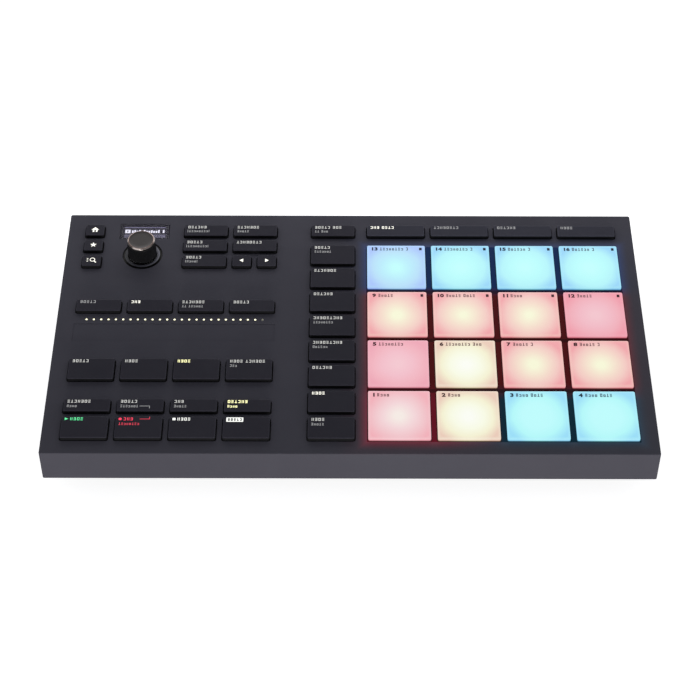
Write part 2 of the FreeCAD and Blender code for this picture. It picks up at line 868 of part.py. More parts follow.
def encoder_knob():
    """The knob: a slightly tapered, knurled body with a bore for the shaft and a recess for the bushing."""
    low = knurled_wire(knob_base_radius, knob_base_z)
    high = knurled_wire(knob_top_radius, knob_skirt_z)
    body = Part.makeLoft([low, high], True, True)
    seat = cap_seat()
    recess = post(
        window_x,
        knob_y,
        knob_base_z,
        bushing_top_z + knob_travel + bushing_clearance,
        bushing_radius + bushing_clearance,
    )
    bore = d_shaft(knob_base_z, shaft_top_z, shaft_radius + shaft_press_gap, shaft_flat)
    return body.fuse(seat).cut([recess, bore])


def cap_seat():
    """The round seat on top of the knob that the metal cap fits over."""
    radius = knob_cap_radius - knob_cap_recess
    return post(window_x, knob_y, knob_skirt_z, knob_skirt_z + knob_cap_recess, radius)


def knob_cap():
    """The metal cap on the knob: a flat top with a chamfered rim, hollow over the knob's seat."""
    cap = post(window_x, knob_y, knob_skirt_z, knob_top_z, knob_cap_radius)
    cap = cap.makeChamfer(knob_cap_chamfer, edges_at(cap, knob_top_z))
    return cap.cut(cap_seat())


def usb_socket():
    """The socket under the main board: a shell, a cavity for the plug, and the tongue for the contacts."""
    center_z = socket_bottom_z + socket_height / 2
    shell = block(
        socket_x - socket_width / 2,
        socket_mouth_y - socket_depth,
        socket_bottom_z,
        socket_x + socket_width / 2,
        socket_mouth_y,
        board_bottom_z,
    )
    half_x = socket_cavity_width / 2
    half_z = socket_cavity_height / 2
    floor_y = socket_mouth_y - socket_cavity_depth
    cavity = block(
        socket_x - half_x,
        floor_y,
        center_z - half_z,
        socket_x + half_x,
        socket_mouth_y,
        center_z + half_z,
    )
    chamfer_tools = []
    cut = socket_cavity_chamfer
    for side in (-1, 1):
        corner = block(-cut, floor_y, -cut, cut, socket_mouth_y, cut)
        corner.rotate(Vector(0, 0, 0), Vector(0, 1, 0), 45)
        corner.translate(Vector(socket_x + side * half_x, 0, center_z + half_z))
        chamfer_tools.append(corner)
    cavity = cavity.cut(chamfer_tools)
    tongue = block(
        socket_x - socket_tongue_width / 2,
        floor_y,
        center_z - socket_tongue_height / 2,
        socket_x + socket_tongue_width / 2,
        floor_y + socket_tongue_length,
        center_z + socket_tongue_height / 2,
    )
    return shell.cut(cavity).fuse(tongue)


def screw(x, y, seat_z, head_radius, head_height, radius, length):
    """One screw from below: a head under its seat and a shank above it, with a cross recess in the head."""
    head = post(x, y, seat_z - head_height, seat_z, head_radius)
    shank = post(x, y, seat_z, seat_z + length, radius)
    bottom = seat_z - head_height
    half = screw_slot_width / 2
    arm = head_radius - screw_slot_rim
    slots = [
        block(x - arm, y - half, bottom, x + arm, y + half, bottom + screw_slot_depth),
        block(x - half, y - arm, bottom, x + half, y + arm, bottom + screw_slot_depth),
    ]
    return head.fuse(shank).cut(slots)


def case_screws():
    """The screws that hold the tray to the shell."""
    return Part.makeCompound([
        screw(x, y, screw_seat_z, screw_head_radius, screw_head_height, screw_radius, screw_length)
        for x, y in CASE_SCREWS
    ])


def board_screws():
    """The screws that hold the two boards up under the panel."""
    return Part.makeCompound([
        screw(x, y, board_bottom_z, board_screw_head_radius, board_screw_head_height, board_screw_radius,
              board_screw_length)
        for x, y in MAIN_BOARD_SCREWS + PAD_BOARD_SCREWS
    ])


def build_parts():
    """Every sub-part by its node's name."""
    parts = {
        "top_case": top_case(),
        "bottom_case": bottom_case(),
        "rubber_feet": rubber_feet(),
        "pad_mat": pad_mat(),
        "pad_sensor_sheet": pad_sensor_sheet(),
        "pad_board": pad_board(),
        "main_board": main_board(),
        "button_mat": button_mat(),
        "strip_light_guide": strip_light_guide(),
        "touch_strip": touch_strip(),
        "display_window": display_window(),
        "display_module": display_module(),
        "encoder_collar": encoder_collar(),
        "encoder_body": encoder_body(),
        "encoder_plunger": encoder_plunger(),
        "encoder_shaft": encoder_shaft(),
        "encoder_knob": encoder_knob(),
        "knob_cap": knob_cap(),
        "usb_socket": usb_socket(),
        "case_screws": case_screws(),
        "board_screws": board_screws(),
    }
    for name, x, width, y, depth in BUTTONS:
        parts["button_" + name] = button_cap(x, width, y, depth)
    return parts


def main():
    os.makedirs("parts", exist_ok=True)
    for name, shape in build_parts().items():
        shape.exportStep("parts/" + name + ".step")
        volume = shape.Volume / 1000
        print(f"{name:24s} solids {len(shape.Solids):2d}  valid {shape.isValid()}  {volume:9.3f} cm3")


main()
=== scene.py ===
"""Looks of the pad controller: finishes, caps, lit pads, knob, display, lamps, floor, light and camera."""

import json
import math

import bpy
from mathutils import Matrix, Vector

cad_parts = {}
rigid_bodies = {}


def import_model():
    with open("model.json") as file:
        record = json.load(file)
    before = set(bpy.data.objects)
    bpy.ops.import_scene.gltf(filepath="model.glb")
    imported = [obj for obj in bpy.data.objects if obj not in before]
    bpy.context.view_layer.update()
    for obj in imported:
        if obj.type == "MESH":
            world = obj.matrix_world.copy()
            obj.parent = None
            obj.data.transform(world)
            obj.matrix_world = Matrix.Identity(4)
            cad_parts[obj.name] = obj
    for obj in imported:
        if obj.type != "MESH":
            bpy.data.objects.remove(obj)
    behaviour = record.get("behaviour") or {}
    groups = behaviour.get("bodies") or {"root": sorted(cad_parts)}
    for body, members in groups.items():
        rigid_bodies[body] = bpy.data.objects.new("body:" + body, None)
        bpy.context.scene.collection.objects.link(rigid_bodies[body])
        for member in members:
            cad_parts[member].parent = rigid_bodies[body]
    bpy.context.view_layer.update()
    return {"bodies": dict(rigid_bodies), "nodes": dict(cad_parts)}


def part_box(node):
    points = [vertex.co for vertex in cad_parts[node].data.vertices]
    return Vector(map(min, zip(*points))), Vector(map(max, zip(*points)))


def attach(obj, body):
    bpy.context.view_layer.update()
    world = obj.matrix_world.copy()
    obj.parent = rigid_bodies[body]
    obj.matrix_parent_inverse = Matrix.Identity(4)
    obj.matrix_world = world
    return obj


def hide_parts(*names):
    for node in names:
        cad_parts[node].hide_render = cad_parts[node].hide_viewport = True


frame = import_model()
nodes = frame["nodes"]

MM = 0.001

# Camera, fitted to the panel's corners in the photograph
CAMERA_PLACE = Vector((-0.00076, -0.73619, 0.82151))
CAMERA_RIGHT = Vector((0.9999968, 0.0013279, 0.0021432))
CAMERA_FORWARD = Vector((0.0006870, 0.6743661, -0.7383968))
CAMERA_LENS = 102.09
SENSOR_WIDTH = 36.0

# Studio: the world's light, the floor, and for each lamp its name, place, width, height, watts and tint
WORLD_TINT = (0.77, 0.785, 0.85, 1.0)
WORLD_LEVEL = 0.4
LAMPS = (
    ("lamp_front", (0.1, -1.5, 0.16), 1.4, 0.3, 22.5, (1.0, 0.985, 0.94)),
    ("lamp_back", (0.0, 0.25, 0.16), 0.7, 0.12, 0.54, (1.0, 1.0, 1.0)),
    ("lamp_rear", (-0.2, 1.6, 0.1), 1.4, 0.2, 12.0, (1.0, 1.0, 1.0)),
)
LAMP_TARGET = Vector((0, 0, 0.02))
FLOOR_HALF = 4.0
FLOOR_GREY = 0.65
FLOOR_GLOW = 0.8

# Height of the panel's face, read from the frame
panel_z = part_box("top_case")[1].z

# Meshes: degrees up to which an edge is smooth, points of a quarter turn, and the limits of a corner's radius
SMOOTH_ANGLE = 32.0
ARC_STEPS = 6
CORNER_SHARE = 0.49
CORNER_LEAST = 1e-6

# Marks: how far they stand off their surface, how thick they are, how wide their strokes, and the stretch of
# the numbers
MARK_LIFT = 0.015 * MM
MARK_THICK = 0.03 * MM
STROKE = 0.34 * MM
SMALL_STROKE = 0.3 * MM
NUMBER_WIDTH = 1.2

# Caps: the flange reaches under the panel by the lap, and the hollow has a wall and a roof
CAP_LAP = 0.9 * MM
CAP_CORNER = 0.8 * MM
CAP_ROUND = 0.4 * MM
CAP_CREASE = 0.05 * MM
CAP_WALL = 1.0 * MM
CAP_ROOF = 1.4 * MM
CAP_FLANGE = 1.3 * MM
CAP_FOOT_CORNER = 0.3 * MM
CAP_FLAT = 0.3 * MM
CAP_ARC_STEPS = 5
TOP_SLOPE = 0.35
# Caps that take a lighter copy of the cap finish, as painted light
CAPS_WITH_PAINTED_LIGHT = ("pad_mode", "keyboard", "chords", "step")

# Pads: the same for the sixteen blocks and the web that joins them under the panel
PAD_LAP = 0.7 * MM
PAD_BAR = 2.5 * MM
PAD_GAP = 0.5 * MM
PAD_CORNER = 0.9 * MM
PAD_ROUND = 0.6 * MM
PAD_CROWN = 0.12 * MM
PAD_CREASE = 0.1 * MM
PAD_WALL = 3.0 * MM
PAD_ROOF = 3.5 * MM
PAD_FOOT_CORNER = 0.5 * MM
WEB_DROP = 2.7 * MM
WEB_THICK = 1.4 * MM
WEB_CORNER = 0.3 * MM
PAD_ARC_STEPS = 6
PAD_CROWN_SHARES = (0.06, 0.16, 0.34, 0.6)
BLUE_PADS = (3, 4, 13, 14, 15, 16)

# Collar, with its painted sheen from left to right, and socket
COLLAR_STEP = 1.7 * MM
COLLAR_PAINTED_SHEEN = ((0.0, 0.3), (0.45, 0.8), (0.8, 1.2), (1.0, 2.0))
TONGUE_HALF_WIDTH = 2.8 * MM
TONGUE_HALF_HEIGHT = 1.6 * MM
TONGUE_SETBACK = 5.2 * MM
CONTACT_SETBACK = 0.4 * MM
CONTACT_OFFSET = 1.25 * MM
CONTACT_HALF_WIDTH = 0.55 * MM
CONTACT_LENGTH = 4.4 * MM
CONTACT_THICK = 0.08 * MM

# Ranges in which most values of a noise lie, coarse and fine
NOISE_RANGE = (0.3, 0.7)
FINE_RANGE = (0.35, 0.65)
SPECKLE = 0.22
# How much lighter round edges are: partly wear, partly a painted highlight
EDGE_WEAR_AND_HIGHLIGHT_GAIN = 1.7
EDGE_WEAR_AND_HIGHLIGHT_SHARE = 0.35
GRAIN_HEIGHT = 0.00012


def srgb(r, g, b):
    """A colour written as screen values from 0 to 255, as the linear colour that shaders take."""
    def channel(value):
        c = value / 255
        return c / 12.92 if c <= 0.04045 else ((c + 0.055) / 1.055) ** 2.4
    return (channel(r), channel(g), channel(b), 1.0)


def grey(value, blue=0.0):
    """A linear grey, with a little more blue where that is given."""
    return (value, value, value + blue, 1.0)


class Shader:
    """A material's node tree, with short calls for the node types used here."""

    def __init__(self, name, **sockets):
        self.material = bpy.data.materials.new(name)
        self.material.use_nodes = True
        self.tree = self.material.node_tree
        self.bsdf = self.tree.nodes["Principled BSDF"]
        self.coords = self.add("ShaderNodeTexCoord").outputs["Object"]
        for key, value in sockets.items():
            self.bsdf.inputs[key.replace("_", " ")].default_value = value

    def add(self, kind, **settings):
        node = self.tree.nodes.new(kind)
        for key, value in settings.items():
            setattr(node, key, value)
        return node

    def link(self, source, target):
        self.tree.links.new(source, target)

    def feed(self, socket, value):
        """Gives a socket a plain value, or links a source to it."""
        if isinstance(value, bpy.types.NodeSocket):
            self.link(value, socket)
        else:
            socket.default_value = value

    def mapped(self, scale, location=(0, 0, 0)):
        """The place on the object, scaled and moved."""
        node = self.add("ShaderNodeMapping")
        node.inputs["Scale"].default_value = scale
        node.inputs["Location"].default_value = location
        self.link(self.coords, node.inputs["Vector"])
        return node.outputs["Vector"]

    def parts(self, vector=None):
        """The X, Y and Z of a place."""
        node = self.add("ShaderNodeSeparateXYZ")
        self.link(self.coords if vector is None else vector, node.inputs["Vector"])
        return node.outputs["X"], node.outputs["Y"], node.outputs["Z"]

    def length(self, vector):
        node = self.add("ShaderNodeVectorMath", operation="LENGTH")
        self.link(vector, node.inputs[0])
        return node.outputs["Value"]

    def noise(self, scale, detail=3.0, rough=0.5, stretch=(1, 1, 1)):
        node = self.add("ShaderNodeTexNoise")
        node.inputs["Scale"].default_value = scale
        node.inputs["Detail"].default_value = detail
        node.inputs["Roughness"].default_value = rough
        self.link(self.mapped(stretch), node.inputs["Vector"])
        return node.outputs["Fac"]

    def ramp(self, factor, stops):
        node = self.add("ShaderNodeValToRGB")
        elements = node.color_ramp.elements
        while len(elements) < len(stops):
            elements.new(0.5)
        for element, (place, color) in zip(elements, stops):
            element.position = place
            element.color = color
        self.link(factor, node.inputs["Fac"])
        return node.outputs["Color"]

    def tones(self, factor, dark, light, ends=NOISE_RANGE):
        """Two colours over the usual range of a noise."""
        return self.ramp(factor, list(zip(ends, (dark, light))))

    def span(self, factor, low, high, to_low, to_high):
        node = self.add("ShaderNodeMapRange")
        for key, value in (("From Min", low), ("From Max", high), ("To Min", to_low), ("To Max", to_high)):
            node.inputs[key].default_value = value
        self.link(factor, node.inputs["Value"])
        return node.outputs["Result"]

    def spread(self, factor, to_low, to_high, ends=NOISE_RANGE):
        """Two values over the usual range of a noise."""
        return self.span(factor, *ends, to_low, to_high)

    def math(self, operation, *values):
        node = self.add("ShaderNodeMath", operation=operation)
        for socket, value in zip(node.inputs, values):
            self.feed(socket, value)
        return node.outputs["Value"]

    def product(self, first, *others):
        for other in others:
            first = self.math("MULTIPLY", first, other)
        return first

    def beyond(self, place, center, half):
        """How far a place lies outside a stretch of one axis, less than zero inside."""
        return self.math("SUBTRACT", self.math("ABSOLUTE", self.math("SUBTRACT", place, center)), half)

    def mix(self, factor, a, b, mode="MIX"):
        node = self.add("ShaderNodeMix", data_type="RGBA", blend_type=mode)
        for socket, value in ((0, factor), (6, a), (7, b)):
            self.feed(node.inputs[socket], value)
        return node.outputs[2]

    def attribute(self, name):
        return self.add("ShaderNodeAttribute", attribute_name=name).outputs["Fac"]

    def bump(self, height, strength, distance):
        node = self.add("ShaderNodeBump")
        node.inputs["Strength"].default_value = strength
        node.inputs["Distance"].default_value = distance
        self.link(height, node.inputs["Height"])
        self.link(node.outputs["Normal"], self.bsdf.inputs["Normal"])

    def color(self, source):
        self.link(source, self.bsdf.inputs["Base Color"])

    def roughness(self, source):
        self.link(source, self.bsdf.inputs["Roughness"])

    def metallic(self, source):
        self.link(source, self.bsdf.inputs["Metallic"])

    def emission(self, source, strength):
        self.link(source, self.bsdf.inputs["Emission Color"])
        self.bsdf.inputs["Emission Strength"].default_value = strength


def show(tree, light, seen, output):
    """Lights the scene with one shader and shows another, straight or through gloss and clear plastic."""
    path = tree.nodes.new("ShaderNodeLightPath")
    direct = path.outputs["Is Camera Ray"]
    for ray in ("Is Glossy Ray", "Is Transmission Ray"):
        either = tree.nodes.new("ShaderNodeMath")
        either.operation = "MAXIMUM"
        tree.links.new(direct, either.inputs[0])
        tree.links.new(path.outputs[ray], either.inputs[1])
        direct = either.outputs["Value"]
    choose = tree.nodes.new("ShaderNodeMixShader")
    for source, socket in zip((direct, light, seen), choose.inputs):
        tree.links.new(source, socket)
    tree.links.new(choose.outputs["Shader"], tree.nodes[output].inputs["Surface"])


def grained(name, dark, light, rough_low, rough_high, grain, depth, patch=18.0, gloss=0.15):
    """Moulded plastic: two near colours in slow patches, a fine grain in the bump, an uneven gloss, and round
    edges lighter, partly wear and partly a painted highlight.
    """
    s = Shader(name, Specular_IOR_Level=gloss)
    fine = s.noise(grain, 2.0, 0.6)
    base = s.tones(s.noise(patch, 4.0, 0.6), dark, light)
    speckled = s.mix(s.spread(fine, 0.0, SPECKLE, FINE_RANGE), base, light)
    # Round edges lighter: partly wear, partly a painted highlight
    worn_and_highlit = tuple(min(1.0, EDGE_WEAR_AND_HIGHLIGHT_GAIN * c) for c in light[:3]) + (1.0,)
    s.color(s.mix(s.math("MULTIPLY", s.attribute("edge"), EDGE_WEAR_AND_HIGHLIGHT_SHARE), speckled, worn_and_highlit))
    s.roughness(s.spread(s.noise(patch * 4, 3.0), rough_low, rough_high))
    s.bump(fine, depth, GRAIN_HEIGHT)
    return s.material


def glowing(name, color, strength, base=(10, 10, 12), uneven=0.12):
    """A lit mark: an emissive colour whose level wanders a little over the surface."""
    s = Shader(name, Base_Color=srgb(*base), Roughness=0.4)
    fainter = srgb(*(0.72 * c for c in color))
    s.emission(s.mix(s.spread(s.noise(900.0, 2.0), 0.0, uneven), srgb(*color), fainter), strength)
    return s.material


def metal(name, dark, light, rough, brush, stretch):
    """Metal with a directional brushing in its gloss and bump."""
    s = Shader(name, Metallic=1.0)
    streaks = s.noise(brush, 4.0, 0.6, stretch)
    s.color(s.tones(streaks, dark, light, FINE_RANGE))
    s.roughness(s.spread(streaks, rough * 0.8, rough * 1.25))
    s.bump(streaks, 0.25, 0.00004)
    return s.material


def mesh_object(name, vertices, faces, materials, smooth_angle=SMOOTH_ANGLE, edge_marks=None):
    """A new mesh piece with sharp edges kept by angle and an edge attribute for wear and a painted edge
    highlight.
    """
    mesh = bpy.data.meshes.new(name)
    mesh.from_pydata(vertices, [], faces)
    mesh.validate()
    for material in materials:
        mesh.materials.append(material)
    mesh.polygons.foreach_set("use_smooth", [True] * len(mesh.polygons))
    mesh.set_sharp_from_angle(angle=math.radians(smooth_angle))
    marks = mesh.attributes.new("edge", "FLOAT", "POINT")
    marks.data.foreach_set("value", edge_marks or [0.0] * len(vertices))
    piece = bpy.data.objects.new(name, mesh)
    bpy.context.scene.collection.objects.link(piece)
    return piece


def polar(cx, cy, radius, angle):
    """The point at an angle on a circle."""
    return cx + radius * math.cos(angle), cy + radius * math.sin(angle)


def rounded_outline(x0, y0, x1, y1, radius, steps=ARC_STEPS):
    """A rectangle with round corners, as points that run anticlockwise."""
    r = max(min(radius, CORNER_SHARE * (x1 - x0), CORNER_SHARE * (y1 - y0)), CORNER_LEAST)
    corners = ((x1 - r, y0 + r, -90), (x1 - r, y1 - r, 0), (x0 + r, y1 - r, 90), (x0 + r, y0 + r, 180))
    points = []
    for cx, cy, start in corners:
        for i in range(steps + 1):
            points.append(polar(cx, cy, r, math.radians(start + 90 * i / steps)))
    return points


def circle_outline(cx, cy, radius, count):
    """A circle as points that run anticlockwise."""
    turn = 2 * math.pi / count
    return [polar(cx, cy, radius, turn * i) for i in range(count)]


def stacked(rings):
    """Vertices and faces of a closed solid through rings of equal length, from the lowest up."""
    count = len(rings[0])
    vertices = [p for ring in rings for p in ring]
    faces = [tuple(reversed(range(count)))]
    for k in range(len(rings) - 1):
        low = k * count
        for i in range(count):
            j = (i + 1) % count
            faces.append((low + i, low + j, low + count + j, low + count + i))
    top = (len(rings) - 1) * count
    faces.append(tuple(range(top, top + count)))
    return vertices, faces


class Block:
    """A block with round upright corners, built ring by ring, with the mark of each point for wear and a
    painted edge highlight.
    """

    def __init__(self, x0, y0, x1, y1):
        self.box = (x0, y0, x1, y1)
        self.rings = []
        self.marks = []

    def ring(self, inset, z, corner, mark=0.0):
        x0, y0, x1, y1 = self.box
        outline = rounded_outline(x0 + inset, y0 + inset, x1 - inset, y1 - inset, corner)
        self.rings.append([(x, y, z) for x, y in outline])
        self.marks += [mark] * len(outline)

    def piece(self, name, materials, smooth_angle=SMOOTH_ANGLE):
        return mesh_object(name, *stacked(self.rings), materials, smooth_angle, self.marks)


def turned(name, cx, cy, profile, material, count, ribs=0):
    """A solid of revolution about an upright axis, from points (radius, z) with an optional rib depth."""
    rings = []
    for radius, z, *depth in profile:
        ring = []
        for i in range(count):
            angle = 2 * math.pi * i / count
            r = radius - sum(depth) * (0.5 - 0.5 * math.cos(ribs * angle)) ** 3
            ring.append((*polar(cx, cy, r, angle), z))
        rings.append(ring)
    return mesh_object(name, *stacked(rings), [material], smooth_angle=28.0)


def merged(name, blocks, materials):
    """One mesh piece out of several closed solids, each given as (vertices, faces, material index)."""
    vertices, faces, indices = [], [], []
    for points, block_faces, index in blocks:
        start = len(vertices)
        vertices += points
        faces += [tuple(start + i for i in face) for face in block_faces]
        indices += [index] * len(block_faces)
    piece = mesh_object(name, vertices, faces, materials)
    piece.data.polygons.foreach_set("material_index", indices)
    return piece


def plate(outline, z, index=0, thickness=MARK_THICK):
    """A thin flat plate of any outline, as a block for merged()."""
    return *stacked([[(x, y, level) for x, y in outline] for level in (z, z + thickness)]), index


def bar_block(x0, y0, x1, y1, z, index=0, thickness=MARK_THICK):
    """A thin straight stroke."""
    return plate([(x0, y0), (x1, y0), (x1, y1), (x0, y1)], z, index, thickness)


def ring_block(cx, cy, inner, outer, z, count=40):
    """A flat ring, as a thin solid."""
    vertices = []
    for i in range(count):
        angle = math.radians(360.0 * i / count)
        for r, level in ((inner, z), (outer, z), (outer, z + MARK_THICK), (inner, z + MARK_THICK)):
            vertices.append((*polar(cx, cy, r, angle), level))
    faces = []
    for i in range(count):
        a = 4 * i
        b = 4 * ((i + 1) % count)
        for k in range(4):
            m = (k + 1) % 4
            faces.append((a + k, a + m, b + m, b + k))
    return vertices, faces, 0


def star_outline(cx, cy, outer, inner):
    """A five-pointed star."""
    return [polar(cx, cy, inner if i % 2 else outer, math.radians(90 + 36 * i)) for i in range(10)]


def number_block(text, x, y, height, z, index=0):
    """A plain number in Blender's own font, from its left end and middle. Gives its right end too."""
    curve = bpy.data.curves.new("number", "FONT")
    curve.body = text
    curve.offset = 0.05
    curve.extrude = 0.5
    curve.resolution_u = 4
    holder = bpy.data.objects.new("number", curve)
    bpy.context.scene.collection.objects.link(holder)
    graph = bpy.context.evaluated_depsgraph_get()
    mesh = bpy.data.meshes.new_from_object(holder.evaluated_get(graph))
    points = [v.co.copy() for v in mesh.vertices]
    low_x, high_x = min(p.x for p in points), max(p.x for p in points)
    low_y, high_y = min(p.y for p in points), max(p.y for p in points)
    scale = height / (high_y - low_y)
    vertices = []
    for p in points:
        px = x + (p.x - low_x) * scale * NUMBER_WIDTH
        py = y + (p.y - (low_y + high_y) / 2) * scale
        vertices.append((px, py, z + (MARK_THICK if p.z > 0 else 0)))
    faces = [tuple(polygon.vertices) for polygon in mesh.polygons]
    bpy.data.objects.remove(holder)
    bpy.data.curves.remove(curve)
    bpy.data.meshes.remove(mesh)
    return (vertices, faces, index), x + (high_x - low_x) * scale * NUMBER_WIDTH


# Materials
STEEL_DARK = srgb(150, 150, 152)
STEEL_LIGHT = srgb(178, 178, 180)
STEEL_BRUSH = (300.0, (1, 12, 1))
TRAY = grained("tray_grain", srgb(38, 38, 41), srgb(44, 44, 47), 0.62, 0.74, 1500.0, 0.5)
CAP = grained("cap_grain", srgb(41, 40, 48), srgb(45, 44, 52), 0.62, 0.72, 3400.0, 0.22, 40.0, 0.06)
# A lighter copy of the cap finish: painted light on the four mode caps
CAP_PAINTED_LIGHT = grained("cap_grain_painted_light", srgb(51, 51, 60), srgb(56, 56, 66), 0.62, 0.72, 3400.0, 0.22, 40.0, 0.06)
CAP_SIDE = grained("cap_side", srgb(10, 10, 13), srgb(14, 14, 17), 0.6, 0.7, 2600.0, 0.25, 60.0)
FOOT = grained("foot_rubber", srgb(26, 26, 27), srgb(34, 34, 35), 0.75, 0.9, 900.0, 0.6)
KNOB = grained("knob_black", srgb(15, 15, 17), srgb(21, 21, 23), 0.28, 0.4, 2200.0, 0.3)
DOME = grained("dome_silicone", srgb(150, 150, 150), srgb(165, 165, 164), 0.6, 0.75, 700.0, 0.2)
FILM = grained("sensor_film", srgb(24, 25, 26), srgb(34, 34, 36), 0.3, 0.42, 500.0, 0.1)
BOARD = grained("board_lacquer", srgb(10, 44, 28), srgb(16, 56, 36), 0.25, 0.38, 300.0, 0.15)
STEEL = metal("steel_plate", STEEL_DARK, STEEL_LIGHT, 0.3, *STEEL_BRUSH)
SCREW = metal("screw_black_zinc", srgb(40, 40, 43), srgb(62, 62, 66), 0.38, 900.0, (1, 1, 6))
GOLD = metal("contact_gold", srgb(205, 160, 80), srgb(228, 190, 110), 0.25, 900.0, (1, 8, 1))

# Light that the pads throw: linear colours of it on the bars and the panel, its reach, and the field's
# colour, partly dark plastic and partly painted shade
LEAK_RED = (0.106, 0.003, 0.011, 1.0)
LEAK_TEAL = (0.0005, 0.016, 0.030, 1.0)
LEAK_MAROON = (0.056, 0.0015, 0.0025, 1.0)
LEAK_NAVY = (0.004, 0.018, 0.075, 1.0)
LEAK_NEAR = 6.0 * MM
LEAK_POWER = 1.7
LEAK_FAR = 16.0 * MM
LEAK_FAR_LEVEL = 0.09
CROSS_BAR_LEVEL = 0.35
FIELD_DARK_AND_SHADE = srgb(5, 4, 5)


def shell_material():
    """Moulded shell: fine grain, dark bars between the pads, partly dark plastic and partly painted shade,
    and the pads' light leaking on to them.
    """
    low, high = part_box("pad_mat")
    center_x = (low.x + high.x) / 2
    center_y = (low.y + high.y) / 2
    half_x = (high.x - low.x) / 2 - PAD_LAP
    half_y = (high.y - low.y) / 2 - PAD_LAP
    s = Shader("shell_grain", Specular_IOR_Level=0.05)
    fine = s.noise(2600.0, 2.0, 0.6)
    base = s.tones(s.noise(14.0, 4.0, 0.6), srgb(66, 65, 73), srgb(70, 69, 77))
    speckled = s.mix(s.spread(fine, 0.0, 0.25, FINE_RANGE), base, srgb(77, 76, 84))
    x, y, z = s.parts()
    out = s.math("MAXIMUM", s.beyond(x, center_x, half_x), s.beyond(y, center_y, half_y))
    field = s.span(out, -0.1 * MM, 0.3 * MM, 1.0, 0.0)
    # Near black over the pad field: partly dark plastic, partly painted shade between the raised pads
    s.color(s.mix(field, speckled, FIELD_DARK_AND_SHADE))

    # How much light: full on the upright bars, less on the cross bars, and fading outwards over the panel
    pitch = (2 * half_y + PAD_BAR) / 4
    step = s.math("FRACT", s.math("DIVIDE", s.math("SUBTRACT", y, center_y - half_y), pitch))
    bar_start = 1 - PAD_BAR / pitch
    bars = s.product(field, s.span(step, bar_start - 0.01, bar_start, 1.0, CROSS_BAR_LEVEL))
    near = s.math("POWER", s.span(out, 0.0, LEAK_NEAR, 1.0, 0.0), LEAK_POWER)
    near = s.product(near, s.span(field, 0.0, 1.0, 1.0, 0.0))
    far = s.product(s.span(out, 0.0, LEAK_FAR, 1.0, 0.0), LEAK_FAR_LEVEL)
    leak = s.math("ADD", s.math("ADD", bars, near), far)
    above = s.span(z, panel_z - 1.0 * MM, panel_z - 0.5 * MM, 0.0, 1.0)

    # Its colour: red and teal along the front row, maroon in the middle rows, navy along the back row
    column = s.span(x, center_x - half_x, center_x + half_x, 0.0, 1.0)
    row = s.span(y, center_y - half_y, center_y + half_y, 0.0, 1.0)
    hue = s.ramp(column, [(0.26, LEAK_RED), (0.5, LEAK_TEAL)])
    hue = s.mix(s.span(row, 0.2, 0.28, 0.0, 1.0), hue, LEAK_MAROON)
    hue = s.mix(s.span(row, 0.73, 0.78, 0.0, 1.0), hue, LEAK_NAVY)
    s.emission(s.mix(s.product(leak, above), grey(0.0), hue), 1.0)
    s.roughness(s.spread(s.noise(70.0, 3.0), 0.62, 0.72))
    s.bump(fine, 0.35, GRAIN_HEIGHT)
    return s.material


def socket_material():
    """The socket's steel shell and the black plastic of its tongue."""
    low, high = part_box("usb_socket")
    s = Shader("socket_steel")
    x, _, z = s.parts()
    across = s.math("ABSOLUTE", s.math("SUBTRACT", x, (low.x + high.x) / 2))
    upward = s.math("ABSOLUTE", s.math("SUBTRACT", z, (low.z + high.z) / 2))
    inside = s.product(
        s.span(across, TONGUE_HALF_WIDTH, TONGUE_HALF_WIDTH + 0.1 * MM, 1.0, 0.0),
        s.span(upward, TONGUE_HALF_HEIGHT, TONGUE_HALF_HEIGHT + 0.1 * MM, 1.0, 0.0),
    )
    brush, stretch = STEEL_BRUSH
    streaks = s.noise(brush, 4.0, 0.6, stretch)
    s.color(s.mix(inside, s.tones(streaks, STEEL_DARK, STEEL_LIGHT, FINE_RANGE), srgb(20, 20, 22)))
    s.metallic(s.span(inside, 0.0, 1.0, 1.0, 0.0))
    s.roughness(s.spread(streaks, 0.26, 0.4))
    return s.material


def make_socket_contacts():
    """Four gold contacts on the socket's tongue, two above and two below."""
    low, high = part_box("usb_socket")
    mid_x = (low.x + high.x) / 2
    mid_z = (low.z + high.z) / 2
    near = high.y - TONGUE_SETBACK - CONTACT_SETBACK
    blocks = []
    for side in (-1, 1):
        x = mid_x + side * CONTACT_OFFSET
        x0 = x - CONTACT_HALF_WIDTH
        x1 = x + CONTACT_HALF_WIDTH
        for z in (mid_z + TONGUE_HALF_HEIGHT, mid_z - TONGUE_HALF_HEIGHT - CONTACT_THICK):
            blocks.append(bar_block(x0, near - CONTACT_LENGTH, x1, near, z, 0, CONTACT_THICK))
    piece = merged("usb_contacts", blocks, [GOLD])
    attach(piece, "root")


def lens_material():
    """Smoked clear plastic: half of what is under it shows through, with a faint gloss on top."""
    s = Shader("lens_smoky", Roughness=0.16, Alpha=0.5, Specular_IOR_Level=0.1)
    s.color(s.tones(s.noise(40.0), srgb(56, 54, 65), srgb(61, 59, 71)))
    s.bump(s.noise(120.0), 0.04, 0.00005)
    return s.material


def clear_material():
    """Clear moulded plastic of the light guide."""
    s = Shader("guide_clear", Roughness=0.2, IOR=1.49, Transmission_Weight=0.9)
    s.color(s.tones(s.noise(200.0), srgb(214, 214, 210), srgb(228, 228, 224)))
    s.bump(s.noise(700.0), 0.08, 0.00005)
    return s.material


